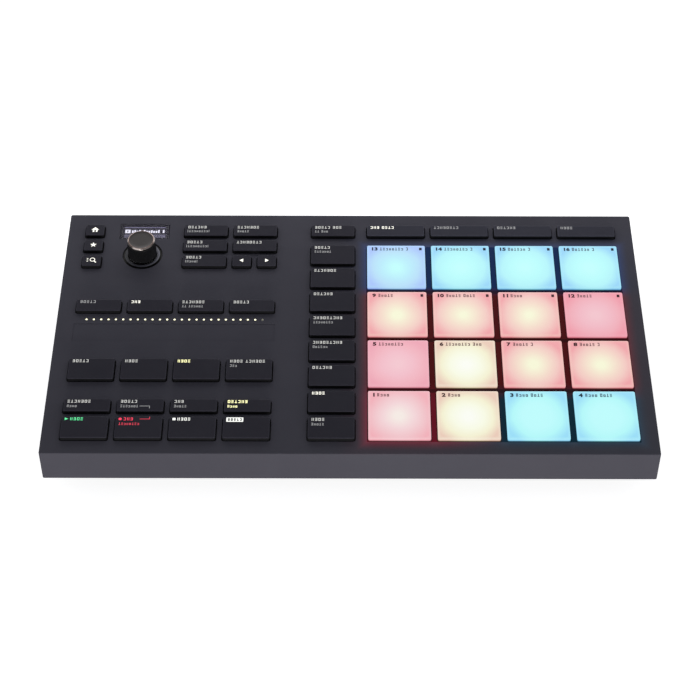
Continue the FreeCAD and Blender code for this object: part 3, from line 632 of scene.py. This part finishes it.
def collar_material():
    """Satin plastic, paler on the raised ring and near black on the low step round it; the ring has painted
    shade towards the knob and a painted sheen that rises from left to right.
    """
    low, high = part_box("encoder_collar")
    ring_radius = (high.x - low.x) / 2 - COLLAR_STEP
    s = Shader("collar_satin", Specular_IOR_Level=0.12)
    place = s.mapped((1, 1, 0), (-(low.x + high.x) / 2, -(low.y + high.y) / 2, 0))
    radius = s.length(place)
    # Painted shade: the ring darkens towards the knob
    painted_dish_shade = s.span(radius, ring_radius - 1.8 * MM, ring_radius, 0.0, 1.0)
    pale = s.ramp(painted_dish_shade, [(0.0, srgb(62, 62, 68)), (0.45, srgb(74, 74, 81)), (0.8, srgb(98, 98, 106))])
    # Painted sheen: darker at the left, brighter at the right
    across = s.span(s.parts(place)[0], -ring_radius, ring_radius, 0.0, 1.0)
    painted_sheen = s.ramp(across, [(stop, grey(value, 0.02)) for stop, value in COLLAR_PAINTED_SHEEN])
    pale = s.mix(1.0, pale, painted_sheen, "MULTIPLY")
    fine = s.noise(2000.0, 2.0)
    dark = s.tones(fine, srgb(3, 3, 4), srgb(6, 6, 8))
    step = s.span(radius, ring_radius - 0.45 * MM, ring_radius - 0.35 * MM, 0.0, 1.0)
    s.color(s.mix(step, pale, dark))
    s.roughness(s.spread(s.noise(160.0), 0.36, 0.5))
    s.bump(fine, 0.2, 0.00008)
    return s.material


def finish_nodes():
    """Gives each CAD node that stays its own finish."""
    finishes = (
        (TRAY, "bottom_case"),
        (FOOT, "rubber_feet"),
        (FILM, "pad_sensor_sheet", "touch_strip", "display_module"),
        (BOARD, "pad_board", "main_board"),
        (DOME, "button_mat"),
        (STEEL, "encoder_body", "encoder_plunger", "encoder_shaft"),
        (SCREW, "case_screws", "board_screws"),
        (shell_material(), "top_case"),
        (socket_material(), "usb_socket"),
        (collar_material(), "encoder_collar"),
        (lens_material(), "display_window"),
        (clear_material(), "strip_light_guide"),
    )
    for material, *names in finishes:
        for name in names:
            mesh = nodes[name].data
            mesh.materials.clear()
            mesh.materials.append(material)


def make_camera():
    """The photograph's camera."""
    data = bpy.data.cameras.new("camera")
    data.lens = CAMERA_LENS
    data.sensor_width = SENSOR_WIDTH
    data.sensor_fit = "HORIZONTAL"
    camera = bpy.data.objects.new("camera", data)
    back = -CAMERA_FORWARD.normalized()
    right = CAMERA_RIGHT.normalized()
    turn = Matrix((right, back.cross(right), back)).transposed().to_4x4()
    camera.matrix_world = Matrix.Translation(CAMERA_PLACE) @ turn
    bpy.context.scene.collection.objects.link(camera)
    bpy.context.scene.camera = camera


def make_light():
    """Plain soft studio light: an even world, white where it is seen, and three wide lamps."""
    world = bpy.data.worlds.new("studio")
    bpy.context.scene.world = world
    world.use_nodes = True
    tree = world.node_tree
    background = tree.nodes["Background"]
    background.inputs["Color"].default_value = WORLD_TINT
    background.inputs["Strength"].default_value = WORLD_LEVEL
    white = tree.nodes.new("ShaderNodeBackground")
    white.inputs["Color"].default_value = grey(1.0)
    show(tree, background.outputs["Background"], white.outputs["Background"], "World Output")
    for name, place, width, height, power, tint in LAMPS:
        data = bpy.data.lights.new(name, "AREA")
        data.shape = "RECTANGLE"
        data.size = width
        data.size_y = height
        data.energy = power
        data.color = tint
        lamp = bpy.data.objects.new(name, data)
        lamp.location = place
        lamp.visible_camera = False
        lamp.rotation_euler = (LAMP_TARGET - Vector(place)).to_track_quat("-Z", "Y").to_euler()
        bpy.context.scene.collection.objects.link(lamp)


def make_floor():
    """A white floor that keeps a soft shadow."""
    corners = [(x * FLOOR_HALF, y * FLOOR_HALF, 0) for x, y in ((-1, -1), (1, -1), (1, 1), (-1, 1))]
    s = Shader("floor_white", Base_Color=grey(FLOOR_GREY), Roughness=0.9)
    glow = s.add("ShaderNodeEmission")
    glow.inputs["Color"].default_value = grey(1.0)
    glow.inputs["Strength"].default_value = FLOOR_GLOW
    lit = s.add("ShaderNodeAddShader")
    s.link(s.bsdf.outputs["BSDF"], lit.inputs[0])
    s.link(glow.outputs["Emission"], lit.inputs[1])
    show(s.tree, s.bsdf.outputs["BSDF"], lit.outputs["Shader"], "Material Output")
    floor = mesh_object("floor", corners, [(0, 1, 2, 3)], [s.material])


# Lights of the legends and the strip's lamps
FULL = glowing("legend_full", (214, 214, 210), 0.95)
DIM = glowing("legend_dim", (168, 168, 170), 0.8)
LIT = glowing("legend_lit", (255, 253, 240), 1.4)
YELLOW = glowing("legend_yellow", (255, 252, 186), 1.6)
GREEN = glowing("legend_green", (84, 226, 148), 1.3)
RED = glowing("legend_red", (236, 34, 74), 1.3)
DEEP_RED = glowing("legend_deep_red", (214, 30, 66), 1.1)
WHITE = glowing("legend_white", (246, 248, 242), 1.3)
LEGEND_DARK = grained("legend_dark", srgb(30, 36, 34), srgb(38, 44, 42), 0.5, 0.6, 2000.0, 0.1)
LAMP_LIT = glowing("strip_lamp_lit", (255, 250, 208), 1.9, uneven=0.05)
LAMP_DIM = glowing("strip_lamp_dim", (120, 118, 100), 0.8, uneven=0.05)

# Signs on each cap in place of its words: a digit for each word of the first line, and of the second
CAP_WORDS = {
    "volume": "6/8", "swing": "5/8", "tempo": "5/4", "plugin": "7/5", "sampling": "8/",
    "pitch": "5/", "mod": "3/", "perform": "7/26", "notes": "5/",
    "group": "5/", "auto": "4/", "lock": "4/", "note_repeat": "46/3",
    "restart": "7/4", "erase": "5/7", "tap": "3/5", "follow": "6/4",
    "play": "4/", "record": "3/8", "stop": "4/",
    "fixed_velocity": "53/23", "scene": "5/7", "pattern": "7/", "events": "6/", "variation": "9/8",
    "duplicate": "9/6", "select": "6/", "solo": "4/", "mute": "4/5",
    "pad_mode": "34/", "keyboard": "8/", "chords": "6/", "step": "4/",
}
BRACKETED = ("volume", "swing", "tempo")
# Lights of the first and the second line, where they aren't full and dim
CAP_LIGHTS = {
    "pitch": (DIM, DIM), "keyboard": (DIM, DIM), "chords": (DIM, DIM), "step": (DIM, DIM),
    "mod": (LIT, LIT), "solo": (LIT, LIT), "pad_mode": (LIT, LIT),
    "lock": (YELLOW, YELLOW), "follow": (YELLOW, YELLOW),
    "play": (GREEN, GREEN), "record": (RED, DEEP_RED), "stop": (WHITE, WHITE),
}
LINE_PITCH = 1.8 * MM
LINE_HEIGHT = 1.9 * MM
SMALL_PITCH = 1.38 * MM
SMALL_HEIGHT = 1.75 * MM
WORD_LEFT = 1.7 * MM
WORD_BACK = 1.9 * MM
WORD_SPACING = 3.2 * MM
WORD_GAP = 0.6
# The line that ties the erase key's second line to the record key's first: its ends, right of the cap's left
# edge, the reach of its tip below and above it, and its width
TIES = {
    "erase": (12.0 * MM, 17.0 * MM, -1.6 * MM, 0.16 * MM),
    "record": (12.6 * MM, 17.6 * MM, -0.16 * MM, 1.4 * MM),
}
TIE_HALF = 0.16 * MM
TIE_TIP = 0.32 * MM
# Signs that stand for letters and are none, in a repeated uneven order: which strokes each has (left, right,
# upright, top, middle, bottom), the share of the pitch that it fills and the share of the line's height
CAPITAL_SIGNS = (
    ("LRTB", 0.7, 1.0), ("TMB", 0.66, 1.0), ("UB", 0.7, 1.0),
    ("RTB", 0.64, 1.0), ("LR", 0.62, 1.0), ("RTMB", 0.66, 1.0),
)
SMALL_SIGNS = (
    ("RTB", 0.68, 0.74), ("LR", 0.62, 0.74), ("LRTB", 0.7, 0.74), ("UB", 0.66, 0.95), ("TMB", 0.62, 0.9),
)


def sign_blocks(x0, y0, x1, y1, strokes, thick, z, index):
    """A sign out of straight strokes that stands for a letter and is none."""
    inner_left = x0 + (thick if "L" in strokes else 0.0)
    inner_right = x1 - (thick if "R" in strokes else 0.0)
    mid = (y0 + y1) / 2
    center = (x0 + x1) / 2
    places = {
        "L": (x0, y0, x0 + thick, y1),
        "R": (x1 - thick, y0, x1, y1),
        "U": (center - thick / 2, y0 + (thick if "B" in strokes else 0.0), center + thick / 2, y1),
        "T": (inner_left, y1 - thick, inner_right, y1),
        "M": (inner_left, mid - thick / 2, inner_right, mid + thick / 2),
        "B": (inner_left, y0, inner_right, y0 + thick),
    }
    return [bar_block(*places[stroke], z, index) for stroke in strokes]


def word_blocks(x, y, counts, pitch, height, z, index, capitals, thick=STROKE):
    """Signs in place of a line's letters, from the line's left end and middle. Gives its right end too."""
    blocks = []
    for word, count in enumerate(counts):
        for i in range(count):
            signs = CAPITAL_SIGNS if capitals or i == 0 else SMALL_SIGNS
            strokes, wide, high = signs[(i + 2 * word + count) % len(signs)]
            x0 = x + (1 - wide) / 2 * pitch
            y0 = y - height / 2
            blocks += sign_blocks(x0, y0, x0 + wide * pitch, y0 + high * height, strokes, thick, z, index)
            x += pitch
        x += WORD_GAP * pitch
    return blocks, x - WORD_GAP * pitch


def make_cap(name):
    """One key cap: flange and hollow under the panel, upright sides, and a flat top with a round edge."""
    low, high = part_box("button_" + name)
    block = Block(low.x, low.y, high.x, high.y)
    block.ring(CAP_LAP + CAP_WALL, high.z - CAP_ROOF, CAP_FOOT_CORNER)
    block.ring(CAP_LAP + CAP_WALL, low.z, CAP_FOOT_CORNER)
    block.ring(0.0, low.z, CAP_FOOT_CORNER)
    block.ring(0.0, low.z + CAP_FLANGE, CAP_FOOT_CORNER)
    block.ring(CAP_LAP, low.z + CAP_FLANGE, CAP_CORNER)
    block.ring(CAP_LAP, high.z - CAP_ROUND - CAP_CREASE, CAP_CORNER)
    for i in range(CAP_ARC_STEPS + 1):
        angle = math.radians(90 * i / CAP_ARC_STEPS)
        inset = CAP_LAP + CAP_ROUND * (1 - math.cos(angle))
        block.ring(inset, high.z - CAP_ROUND * (1 - math.sin(angle)), CAP_CORNER - CAP_ROUND * 0.5, 1.0)
    block.ring(CAP_LAP + CAP_ROUND + CAP_FLAT, high.z, CAP_CORNER)
    # The mode caps take the lighter copy of the finish, which is painted light
    piece = block.piece("cap_" + name, [CAP_PAINTED_LIGHT if name in CAPS_WITH_PAINTED_LIGHT else CAP, CAP_SIDE])
    for polygon in piece.data.polygons:
        polygon.material_index = 0 if polygon.normal.z > TOP_SLOPE and polygon.center.z > panel_z else 1
    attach(piece, "button_" + name)
    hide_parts("button_" + name)


def word_marks(name, left, back, z):
    """The signs in place of a cap's words, after the play, record or stop sign where the cap has one."""
    first, second = ([int(digit) for digit in line] for line in CAP_WORDS[name].split("/"))
    blocks = []
    x = left + WORD_LEFT
    y = back - WORD_BACK
    if name == "play":
        blocks.append(plate([(x, y - 0.9 * MM), (x + 1.8 * MM, y), (x, y + 0.9 * MM)], z))
        x += 2.5 * MM
    if name == "record":
        blocks.append(plate(circle_outline(x + 0.8 * MM, y, 0.85 * MM, 24), z))
        x += 2.3 * MM
    if name == "stop":
        blocks.append(plate(rounded_outline(x, y - 0.8 * MM, x + 1.6 * MM, y + 0.8 * MM, 0.1 * MM), z))
        x += 2.3 * MM
    blocks += word_blocks(x, y, first, LINE_PITCH, LINE_HEIGHT, z, 0, True)[0]
    x = left + WORD_LEFT
    small_y = y - WORD_SPACING
    if name in BRACKETED:
        for bar_x in (x, x + 0.9 * MM + SMALL_PITCH * sum(second)):
            blocks.append(bar_block(bar_x, small_y - 1.0 * MM, bar_x + 0.28 * MM, small_y + 1.0 * MM, z, 1))
        x += 0.6 * MM
    if second:
        blocks += word_blocks(x, small_y, second, SMALL_PITCH, SMALL_HEIGHT, z, 1, False, SMALL_STROKE)[0]
    if name in TIES:
        start, end, tip_low, tip_high = TIES[name]
        line_y = small_y if name == "erase" else y
        blocks.append(bar_block(left + start, line_y - TIE_HALF, left + end, line_y + TIE_HALF, z, 1))
        blocks.append(bar_block(left + end, line_y + tip_low, left + end + TIE_TIP, line_y + tip_high, z, 1))
    return blocks, CAP_LIGHTS.get(name, (FULL, DIM))


def shift_marks(left, back, z):
    """Dark signs on a lit plate."""
    x = left + WORD_LEFT
    y = back - WORD_BACK - 0.3 * MM
    box = rounded_outline(x, y - 1.45 * MM, x + 8.8 * MM, y + 1.45 * MM, 0.25 * MM)
    signs, _ = word_blocks(x + 0.5 * MM, y, (5,), 1.56 * MM, 1.8 * MM, z + MARK_THICK, 1, True, 0.48 * MM)
    return [plate(box, z)] + signs, (WHITE, LEGEND_DARK)


def house_blocks(x, y, z):
    """A plain house: a roof and two walls with a door between them."""
    eave = y + 0.1 * MM
    blocks = [plate([(x - 2.1 * MM, eave), (x + 2.1 * MM, eave), (x, y + 2.0 * MM)], z)]
    for wall in (x - 1.35 * MM, x + 0.45 * MM):
        blocks.append(bar_block(wall, y - 1.7 * MM, wall + 0.9 * MM, eave, z))
    return blocks


def search_blocks(x, y, z):
    """Three short lines and a magnifying glass."""
    blocks = []
    for i in range(3):
        line_y = y + (i - 1) * 1.05 * MM
        blocks.append(bar_block(x - 2.7 * MM, line_y - 0.16 * MM, x - 1.8 * MM, line_y + 0.16 * MM, z))
    blocks.append(ring_block(x + 0.5 * MM, y + 0.25 * MM, 1.1 * MM, 1.48 * MM, z))
    ax, ay = x + 1.5 * MM, y - 0.85 * MM
    bx, by = x + 2.6 * MM, y - 1.95 * MM
    half = 0.2 * MM
    handle = [(ax - half, ay - half), (bx - half, by - half), (bx + half, by + half), (ax + half, ay + half)]
    return blocks + [plate(handle, z)]


def arrow_blocks(x, y, z, side):
    """A triangle that points to the left (-1) or the right (1)."""
    base = x - side * 0.85 * MM
    tip = (x + side * 1.15 * MM, y)
    return [plate([tip, (base, y + side * 1.3 * MM), (base, y - side * 1.3 * MM)], z)]


def make_cap_marks(name):
    """The lit marks on one cap, in place of its words and signs."""
    low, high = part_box("button_" + name)
    left = low.x + CAP_LAP
    back = high.y - CAP_LAP
    x = (low.x + high.x) / 2
    y = (low.y + high.y) / 2
    z = high.z + MARK_LIFT
    materials = [LIT]
    if name in CAP_WORDS:
        blocks, materials = word_marks(name, left, back, z)
    elif name == "shift":
        blocks, materials = shift_marks(left, back, z)
    elif name == "home":
        blocks = house_blocks(x, y, z)
    elif name == "favorite":
        blocks = [plate(star_outline(x, y, 1.9 * MM, 0.78 * MM), z)]
    elif name == "browse":
        blocks = search_blocks(x, y, z)
    else:
        blocks = arrow_blocks(x, y, z, -1 if name == "left" else 1)
    piece = merged("marks_" + name, blocks, materials)
    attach(piece, "button_" + name)


# Glow of a pad, from its middle to its corners, and which glow each pad has
BLUE = (srgb(188, 254, 253), srgb(180, 252, 252), srgb(174, 244, 250), srgb(144, 212, 248))
VIOLET_BLUE = (srgb(188, 253, 252), srgb(180, 236, 251), srgb(178, 222, 249), srgb(162, 194, 250))
CYAN = (srgb(187, 254, 254), srgb(186, 253, 254), srgb(176, 250, 251), srgb(148, 222, 249))
SALMON = (srgb(247, 248, 215), srgb(245, 222, 202), srgb(243, 199, 191), srgb(240, 160, 165))
PINK = (srgb(244, 197, 206), srgb(243, 188, 200), srgb(242, 177, 189), srgb(238, 162, 178))
ROSE = (srgb(242, 193, 202), srgb(241, 182, 194), srgb(240, 170, 182), srgb(239, 148, 164))
PALE_PINK = (srgb(246, 235, 228), srgb(244, 213, 216), srgb(242, 195, 201), srgb(242, 172, 182))
CREAM = (srgb(252, 254, 245), srgb(249, 252, 230), srgb(245, 242, 210), srgb(234, 202, 182))
PAD_GLOWS = {
    1: PALE_PINK, 2: CREAM, 3: CYAN, 4: CYAN,
    5: PINK, 6: CREAM, 7: SALMON, 8: SALMON,
    9: SALMON, 10: SALMON, 11: SALMON, 12: ROSE,
    13: VIOLET_BLUE, 14: BLUE, 15: BLUE, 16: BLUE,
}
PAD_BODY = (0.055, 0.05, 0.052, 1.0)
GLOW_STOPS = (0.08, 0.34, 0.55, 0.76)
GLOW_REACH = 1.45
GLOW_FLATTENING = 0.94
GLOW_SHIFT = 0.08
GLOW_MOTTLE = 0.045
# Level of the glow from under the panel up to above it, over the range of heights that follows
PAD_LEVELS = ((0.0, 0.02), (0.33, 0.14), (0.46, 0.7), (0.58, 1.0))
PAD_LEVEL_LOW = panel_z - 1.0 * MM
PAD_LEVEL_HIGH = panel_z + 2.1 * MM
# Signs in place of the words after each pad's number
PAD_WORDS = {
    1: (4,), 2: (4,), 3: (4, 4), 4: (4, 4), 5: (8,), 6: (8, 3), 7: (5, 1), 8: (5, 1),
    9: (5,), 10: (5, 4), 11: (4,), 12: (5,), 13: (8, 1), 14: (8, 1), 15: (6, 1), 16: (6, 1),
}
INK_BLUE = [
    grained("ink_blue", srgb(14, 24, 44), srgb(22, 34, 56), 0.5, 0.6, 900.0, 0.1),
    glowing("ink_blue_thin", (28, 58, 88), 0.8, (20, 30, 45)),
]
INK_RED = [
    grained("ink_red", srgb(44, 8, 18), srgb(56, 14, 24), 0.5, 0.6, 900.0, 0.1),
    glowing("ink_red_thin", (92, 38, 46), 0.8, (40, 20, 24)),
]


def pad_material(number, cx, cy, half):
    """Silicone lit from below: bright middle, stronger colour towards the edges, dull sides, and a painted
    highlight on the round top edge.
    """
    s = Shader("pad_glow_%02d" % number, Base_Color=PAD_BODY, Roughness=0.46, Specular_IOR_Level=0.3)
    flat = GLOW_FLATTENING / half
    place = s.mapped((1 / half, flat, 0), (-cx / half, -(cy - GLOW_SHIFT * half) * flat, 0))
    mottle = s.spread(s.noise(55.0, 3.0), -GLOW_MOTTLE, GLOW_MOTTLE)
    reach = s.math("ADD", s.length(place), mottle)
    tint = s.ramp(s.math("DIVIDE", reach, GLOW_REACH), list(zip(GLOW_STOPS, PAD_GLOWS[number])))
    height = s.parts()[2]
    level = s.ramp(
        s.span(height, PAD_LEVEL_LOW, PAD_LEVEL_HIGH, 0.0, 1.0),
        [(stop, grey(value)) for stop, value in PAD_LEVELS],
    )
    deep = s.mix(1.0, tint, tint, "MULTIPLY")
    side = s.span(height, panel_z + 0.1 * MM, panel_z + 0.9 * MM, 1.0, 0.0)
    # Painted highlight: the round top edge is mixed towards a lighter colour
    between = PAD_GLOWS[number][1]
    rim = s.mix(s.math("MULTIPLY", s.attribute("edge"), 0.25), s.mix(side, tint, deep), between)
    s.emission(s.mix(1.0, rim, level, "MULTIPLY"), 0.92)
    s.bump(s.noise(1800.0, 2.0), 0.12, 0.00008)
    return s.material


def make_pad(number, x0, y0, x1, y1, low_z, high_z):
    """One lit pad: a hollow foot, its share of the web, and a crowned top with a round edge."""
    flange = PAD_GAP + PAD_LAP
    web_top = panel_z - WEB_DROP
    web_bottom = web_top - WEB_THICK
    block = Block(x0, y0, x1, y1)
    block.ring(PAD_WALL, high_z - PAD_ROOF, PAD_FOOT_CORNER)
    block.ring(PAD_WALL, low_z, PAD_FOOT_CORNER)
    block.ring(0.0, low_z, PAD_CORNER)
    block.ring(0.0, web_bottom, PAD_CORNER)
    block.ring(-flange, web_bottom, WEB_CORNER)
    block.ring(-flange, web_top, WEB_CORNER)
    block.ring(0.0, web_top, PAD_CORNER)
    block.ring(0.0, high_z - PAD_ROUND - PAD_CREASE, PAD_CORNER)
    for i in range(PAD_ARC_STEPS + 1):
        angle = math.radians(90 * i / PAD_ARC_STEPS)
        inset = PAD_ROUND * (1 - math.cos(angle))
        z = high_z - PAD_CROWN - (PAD_ROUND - PAD_CROWN) * (1 - math.sin(angle))
        block.ring(inset, z, PAD_CORNER - 0.4 * inset, 1.0)
    span = (x1 - x0) / 2 - PAD_ROUND
    for share in PAD_CROWN_SHARES:
        block.ring(PAD_ROUND + share * span, high_z - PAD_CROWN * (1 - share) ** 3, PAD_CORNER)
    material = pad_material(number, (x0 + x1) / 2, (y0 + y1) / 2, (x1 - x0) / 2)
    pad = block.piece("pad_%02d" % number, [material], 40.0)
    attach(pad, "root")
    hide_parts("pad_mat")


def make_pad_marks(number, x0, x1, y, z):
    """A pad's plain number and the signs after it, and on the two back rows a small block at the right."""
    digits, end = number_block(str(number), x0 + 2.7 * MM, y, 2.6 * MM, z)
    signs, _ = word_blocks(end + 1.0 * MM, y, PAD_WORDS[number], 1.7 * MM, 2.3 * MM, z, 1, False, 0.44 * MM)
    blocks = [digits] + signs
    if number > 8:
        outline = rounded_outline(x1 - 3.3 * MM, y - 1.0 * MM, x1 - 1.8 * MM, y + 1.0 * MM, 0.25 * MM, 3)
        blocks.append(plate(outline, z))
    piece = merged("pad_marks_%02d" % number, blocks, INK_BLUE if number in BLUE_PADS else INK_RED)
    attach(piece, "root")


def make_pads():
    """Sixteen lit pads with their numbers, in place of the one moulding."""
    low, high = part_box("pad_mat")
    left = low.x + PAD_LAP
    front = low.y + PAD_LAP
    width = (high.x - PAD_LAP - left - 3 * PAD_BAR) / 4
    depth = (high.y - PAD_LAP - front - 3 * PAD_BAR) / 4
    for number in range(1, 17):
        row, column = divmod(number - 1, 4)
        opening_x = left + column * (width + PAD_BAR)
        opening_y = front + row * (depth + PAD_BAR)
        x0 = opening_x + PAD_GAP
        y0 = opening_y + PAD_GAP
        x1 = opening_x + width - PAD_GAP
        y1 = opening_y + depth - PAD_GAP
        make_pad(number, x0, y0, x1, y1, low.z, high.z)
        make_pad_marks(number, x0, x1, y1 - 3.0 * MM, high.z + 0.005 * MM)


def knob_top_material(cx, cy, radius):
    """Dark spun metal with fine circular turning marks and a paler chamfer at the rim, with painted
    highlights on it at both sides and at the front left.
    """
    s = Shader("knob_spun_metal", Specular_IOR_Level=0.2)
    place = s.mapped((1 / radius, 1 / radius, 0), (-cx / radius, -cy / radius, 0))
    distance = s.length(place)
    around = s.add("ShaderNodeTexNoise", noise_dimensions="1D")
    around.inputs["Scale"].default_value = 60.0
    around.inputs["Detail"].default_value = 3.0
    s.link(distance, around.inputs["W"])
    turning = around.outputs["Fac"]

    # Painted highlights where the chamfer would catch the light: at both sides, and at the front left
    x, y, _ = s.parts(place)
    sides = s.product(s.span(s.math("ABSOLUTE", x), 0.84, 0.95, 0.0, 0.6), s.span(y, -0.25, -0.05, 0.0, 1.0))
    front = s.product(
        s.span(x, -0.62, -0.45, 0.0, 1.0),
        s.span(x, 0.0, 0.15, 1.0, 0.15),
        s.span(y, -0.7, -0.5, 1.0, 0.0),
    )
    rim = s.tones(turning, srgb(58, 54, 54), srgb(76, 71, 70))
    # The chamfer's painted highlights
    rim = s.mix(s.math("MAXIMUM", sides, front), rim, srgb(190, 180, 176))
    disc = s.tones(turning, srgb(38, 35, 35), srgb(49, 45, 44))
    chamfer = s.span(distance, 0.875, 0.89, 0.0, 1.0)
    line = s.span(distance, 0.92, 0.935, 1.0, 0.0)
    s.color(s.mix(chamfer, disc, s.mix(line, rim, srgb(112, 95, 90))))
    s.metallic(s.span(chamfer, 0.0, 1.0, 0.3, 1.0))
    s.roughness(s.span(chamfer, 0.0, 1.0, 0.45, 0.16))
    s.bump(turning, 0.25, 0.00005)
    return s.material


def make_knob():
    """The knob: a ribbed black body and a turned dark metal cap with a bright chamfer, partly painted
    highlight.
    """
    low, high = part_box("encoder_knob")
    cap_low, cap_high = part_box("knob_cap")
    cx = (low.x + high.x) / 2
    cy = (low.y + high.y) / 2
    base = (high.x - low.x) / 2
    foot = low.z
    skirt = cap_low.z
    top = base - 0.2 * MM
    rib = 0.32 * MM
    profile = [
        (4.2 * MM, foot + 2.2 * MM),
        (4.2 * MM, foot),
        (base - 0.7 * MM, foot),
        (base - 0.15 * MM, foot + 0.2 * MM),
        (base, foot + 0.6 * MM),
        (base, foot + 1.0 * MM, rib * 0.3),
        (base - 0.03 * MM, foot + 1.4 * MM, rib),
        (top + 0.05 * MM, skirt - 1.3 * MM, rib),
        (top, skirt - 0.8 * MM, rib * 0.3),
        (top, skirt - 0.5 * MM),
        (top - 0.1 * MM, skirt - 0.15 * MM),
        (top - 0.3 * MM, skirt),
    ]
    body = turned("knob_body", cx, cy, profile, KNOB, 480, 60)
    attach(body, "knob")
    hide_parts("encoder_knob")
    radius = (cap_high.x - cap_low.x) / 2
    face = cap_high.z
    profile = [
        (radius - 0.25 * MM, skirt),
        (radius, skirt + 0.2 * MM),
        (radius, face - 0.74 * MM),
        (radius - 0.06 * MM, face - 0.62 * MM),
        (radius - 0.62 * MM, face - 0.06 * MM),
        (radius - 0.76 * MM, face),
        (radius - 1.0 * MM, face),
        (radius - 1.15 * MM, face - 0.06 * MM),
        (radius - 3.0 * MM, face - 0.09 * MM),
        (radius - 5.0 * MM, face - 0.10 * MM),
        (radius - 6.4 * MM, face - 0.10 * MM),
    ]
    cap = turned("knob_top", cx, cy, profile, knob_top_material(cx, cy, radius), 160)
    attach(cap, "knob")
    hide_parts("knob_cap")


# Tones of the display's picture, in the order of its pieces' material numbers; the haze and the frame are a
# painted glow
PIXELS = [
    glowing("pixels_white", (240, 238, 255), 4.0, uneven=0.04),
    glowing("pixels_blue", (170, 164, 206), 2.2, uneven=0.04),
    glowing("pixels_painted_haze", (62, 58, 80), 1.0, uneven=0.3),
    LEGEND_DARK,
    glowing("pixels_band", (150, 146, 176), 1.6, uneven=0.1),
    glowing("display_frame_painted_glow", (44, 42, 52), 1.0, uneven=0.3),
]
PIXEL_WHITE, PIXEL_BLUE, PIXEL_PAINTED_HAZE, PIXEL_DARK, PIXEL_BAND, PIXEL_PAINTED_FRAME_GLOW = range(6)
DASHES = 22
# Heights in millimetres of the uneven bars, where 0 is a gap
BAR_HEIGHTS = (2.0, 2.4, 1.7, 2.4, 0.0, 2.4, 1.7, 1.7, 2.2, 1.7, 1.7, 2.4, 0.0, 2.4)


def make_display():
    """The lit picture under the lens: a dashed line, a number in a box, uneven bars and a pale band, over a
    painted haze and a frame with a painted glow.
    """
    low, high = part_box("display_window")
    left = low.x + 2.4 * MM
    right = high.x - 2.4 * MM
    back = high.y - 0.9 * MM
    z = low.z - 0.15 * MM
    # The frame under the whole window: a faint painted glow
    blocks = [plate(rounded_outline(low.x, low.y, high.x, high.y, 0.2 * MM), z, PIXEL_PAINTED_FRAME_GLOW)]
    z += MARK_THICK
    # The field under the picture: a painted haze
    field = rounded_outline(left - 0.6 * MM, low.y + 1.6 * MM, right + 0.6 * MM, back, 0.2 * MM)
    blocks.append(plate(field, z, PIXEL_PAINTED_HAZE))
    z += MARK_THICK
    for i in range(DASHES):
        x = left + i * (right - left) / DASHES
        blocks.append(bar_block(x, back - 1.0 * MM, x + 0.8 * MM, back - 0.5 * MM, z, PIXEL_BLUE))
    y = back - 3.9 * MM
    box = rounded_outline(left + 0.2 * MM, y - 1.4 * MM, left + 3.2 * MM, y + 1.4 * MM, 0.15 * MM)
    blocks.append(plate(box, z, PIXEL_WHITE))
    blocks.append(number_block("1", left + 1.4 * MM, y, 1.7 * MM, z + MARK_THICK, PIXEL_DARK)[0])
    x = left + 4.0 * MM
    for tall in BAR_HEIGHTS:
        if tall:
            blocks.append(bar_block(x, y - 1.2 * MM, x + 0.95 * MM, y + (tall - 1.2) * MM, z, PIXEL_WHITE))
        x += 1.35 * MM
    y -= 3.6 * MM
    blocks.append(bar_block(left, y - 1.3 * MM, right, y + 1.0 * MM, z, PIXEL_BAND))
    start = left + 0.6 * MM
    y -= 0.1 * MM
    z += MARK_THICK
    blocks += word_blocks(start, y, (4, 5, 6), 1.25 * MM, 1.3 * MM, z, PIXEL_DARK, False, 0.2 * MM)[0]
    piece = merged("display_pixels", blocks, PIXELS)
    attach(piece, "root")


# The strip's lamps: how many, how far the outer ones stand in from the guide's ends, and the dome of each as
# shares of its radius and heights over the guide
LAMP_COUNT = 25
LAMP_INSET = 1.5 * MM
LAMP_RADIUS = 0.54 * MM
LAMP_DOME = ((1.0, 0.01 * MM), (0.96, 0.08 * MM), (0.8, 0.14 * MM), (0.5, 0.18 * MM), (0.2, 0.19 * MM))


def make_strip_lamps():
    """The small lit dots over the touch strip, slightly domed, the last one almost off."""
    low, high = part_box("strip_light_guide")
    first = low.x + LAMP_INSET
    last = high.x - LAMP_INSET
    cy = (low.y + high.y) / 2
    blocks = []
    for i in range(LAMP_COUNT):
        cx = first + i * (last - first) / (LAMP_COUNT - 1)
        rings = []
        for share, rise in LAMP_DOME:
            rings.append([(x, y, high.z + rise) for x, y in circle_outline(cx, cy, share * LAMP_RADIUS, 20)])
        blocks.append(stacked(rings) + (1 if i == LAMP_COUNT - 1 else 0,))
    piece = merged("strip_lamp_dots", blocks, [LAMP_LIT, LAMP_DIM])
    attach(piece, "root")


bpy.context.scene.view_settings.view_transform = "Standard"
make_camera()
make_light()
make_floor()
finish_nodes()
for name in sorted(body[len("button_"):] for body in frame["bodies"] if body.startswith("button_")):
    make_cap(name)
    make_cap_marks(name)
make_pads()
make_knob()
make_display()
make_strip_lamps()
make_socket_contacts()
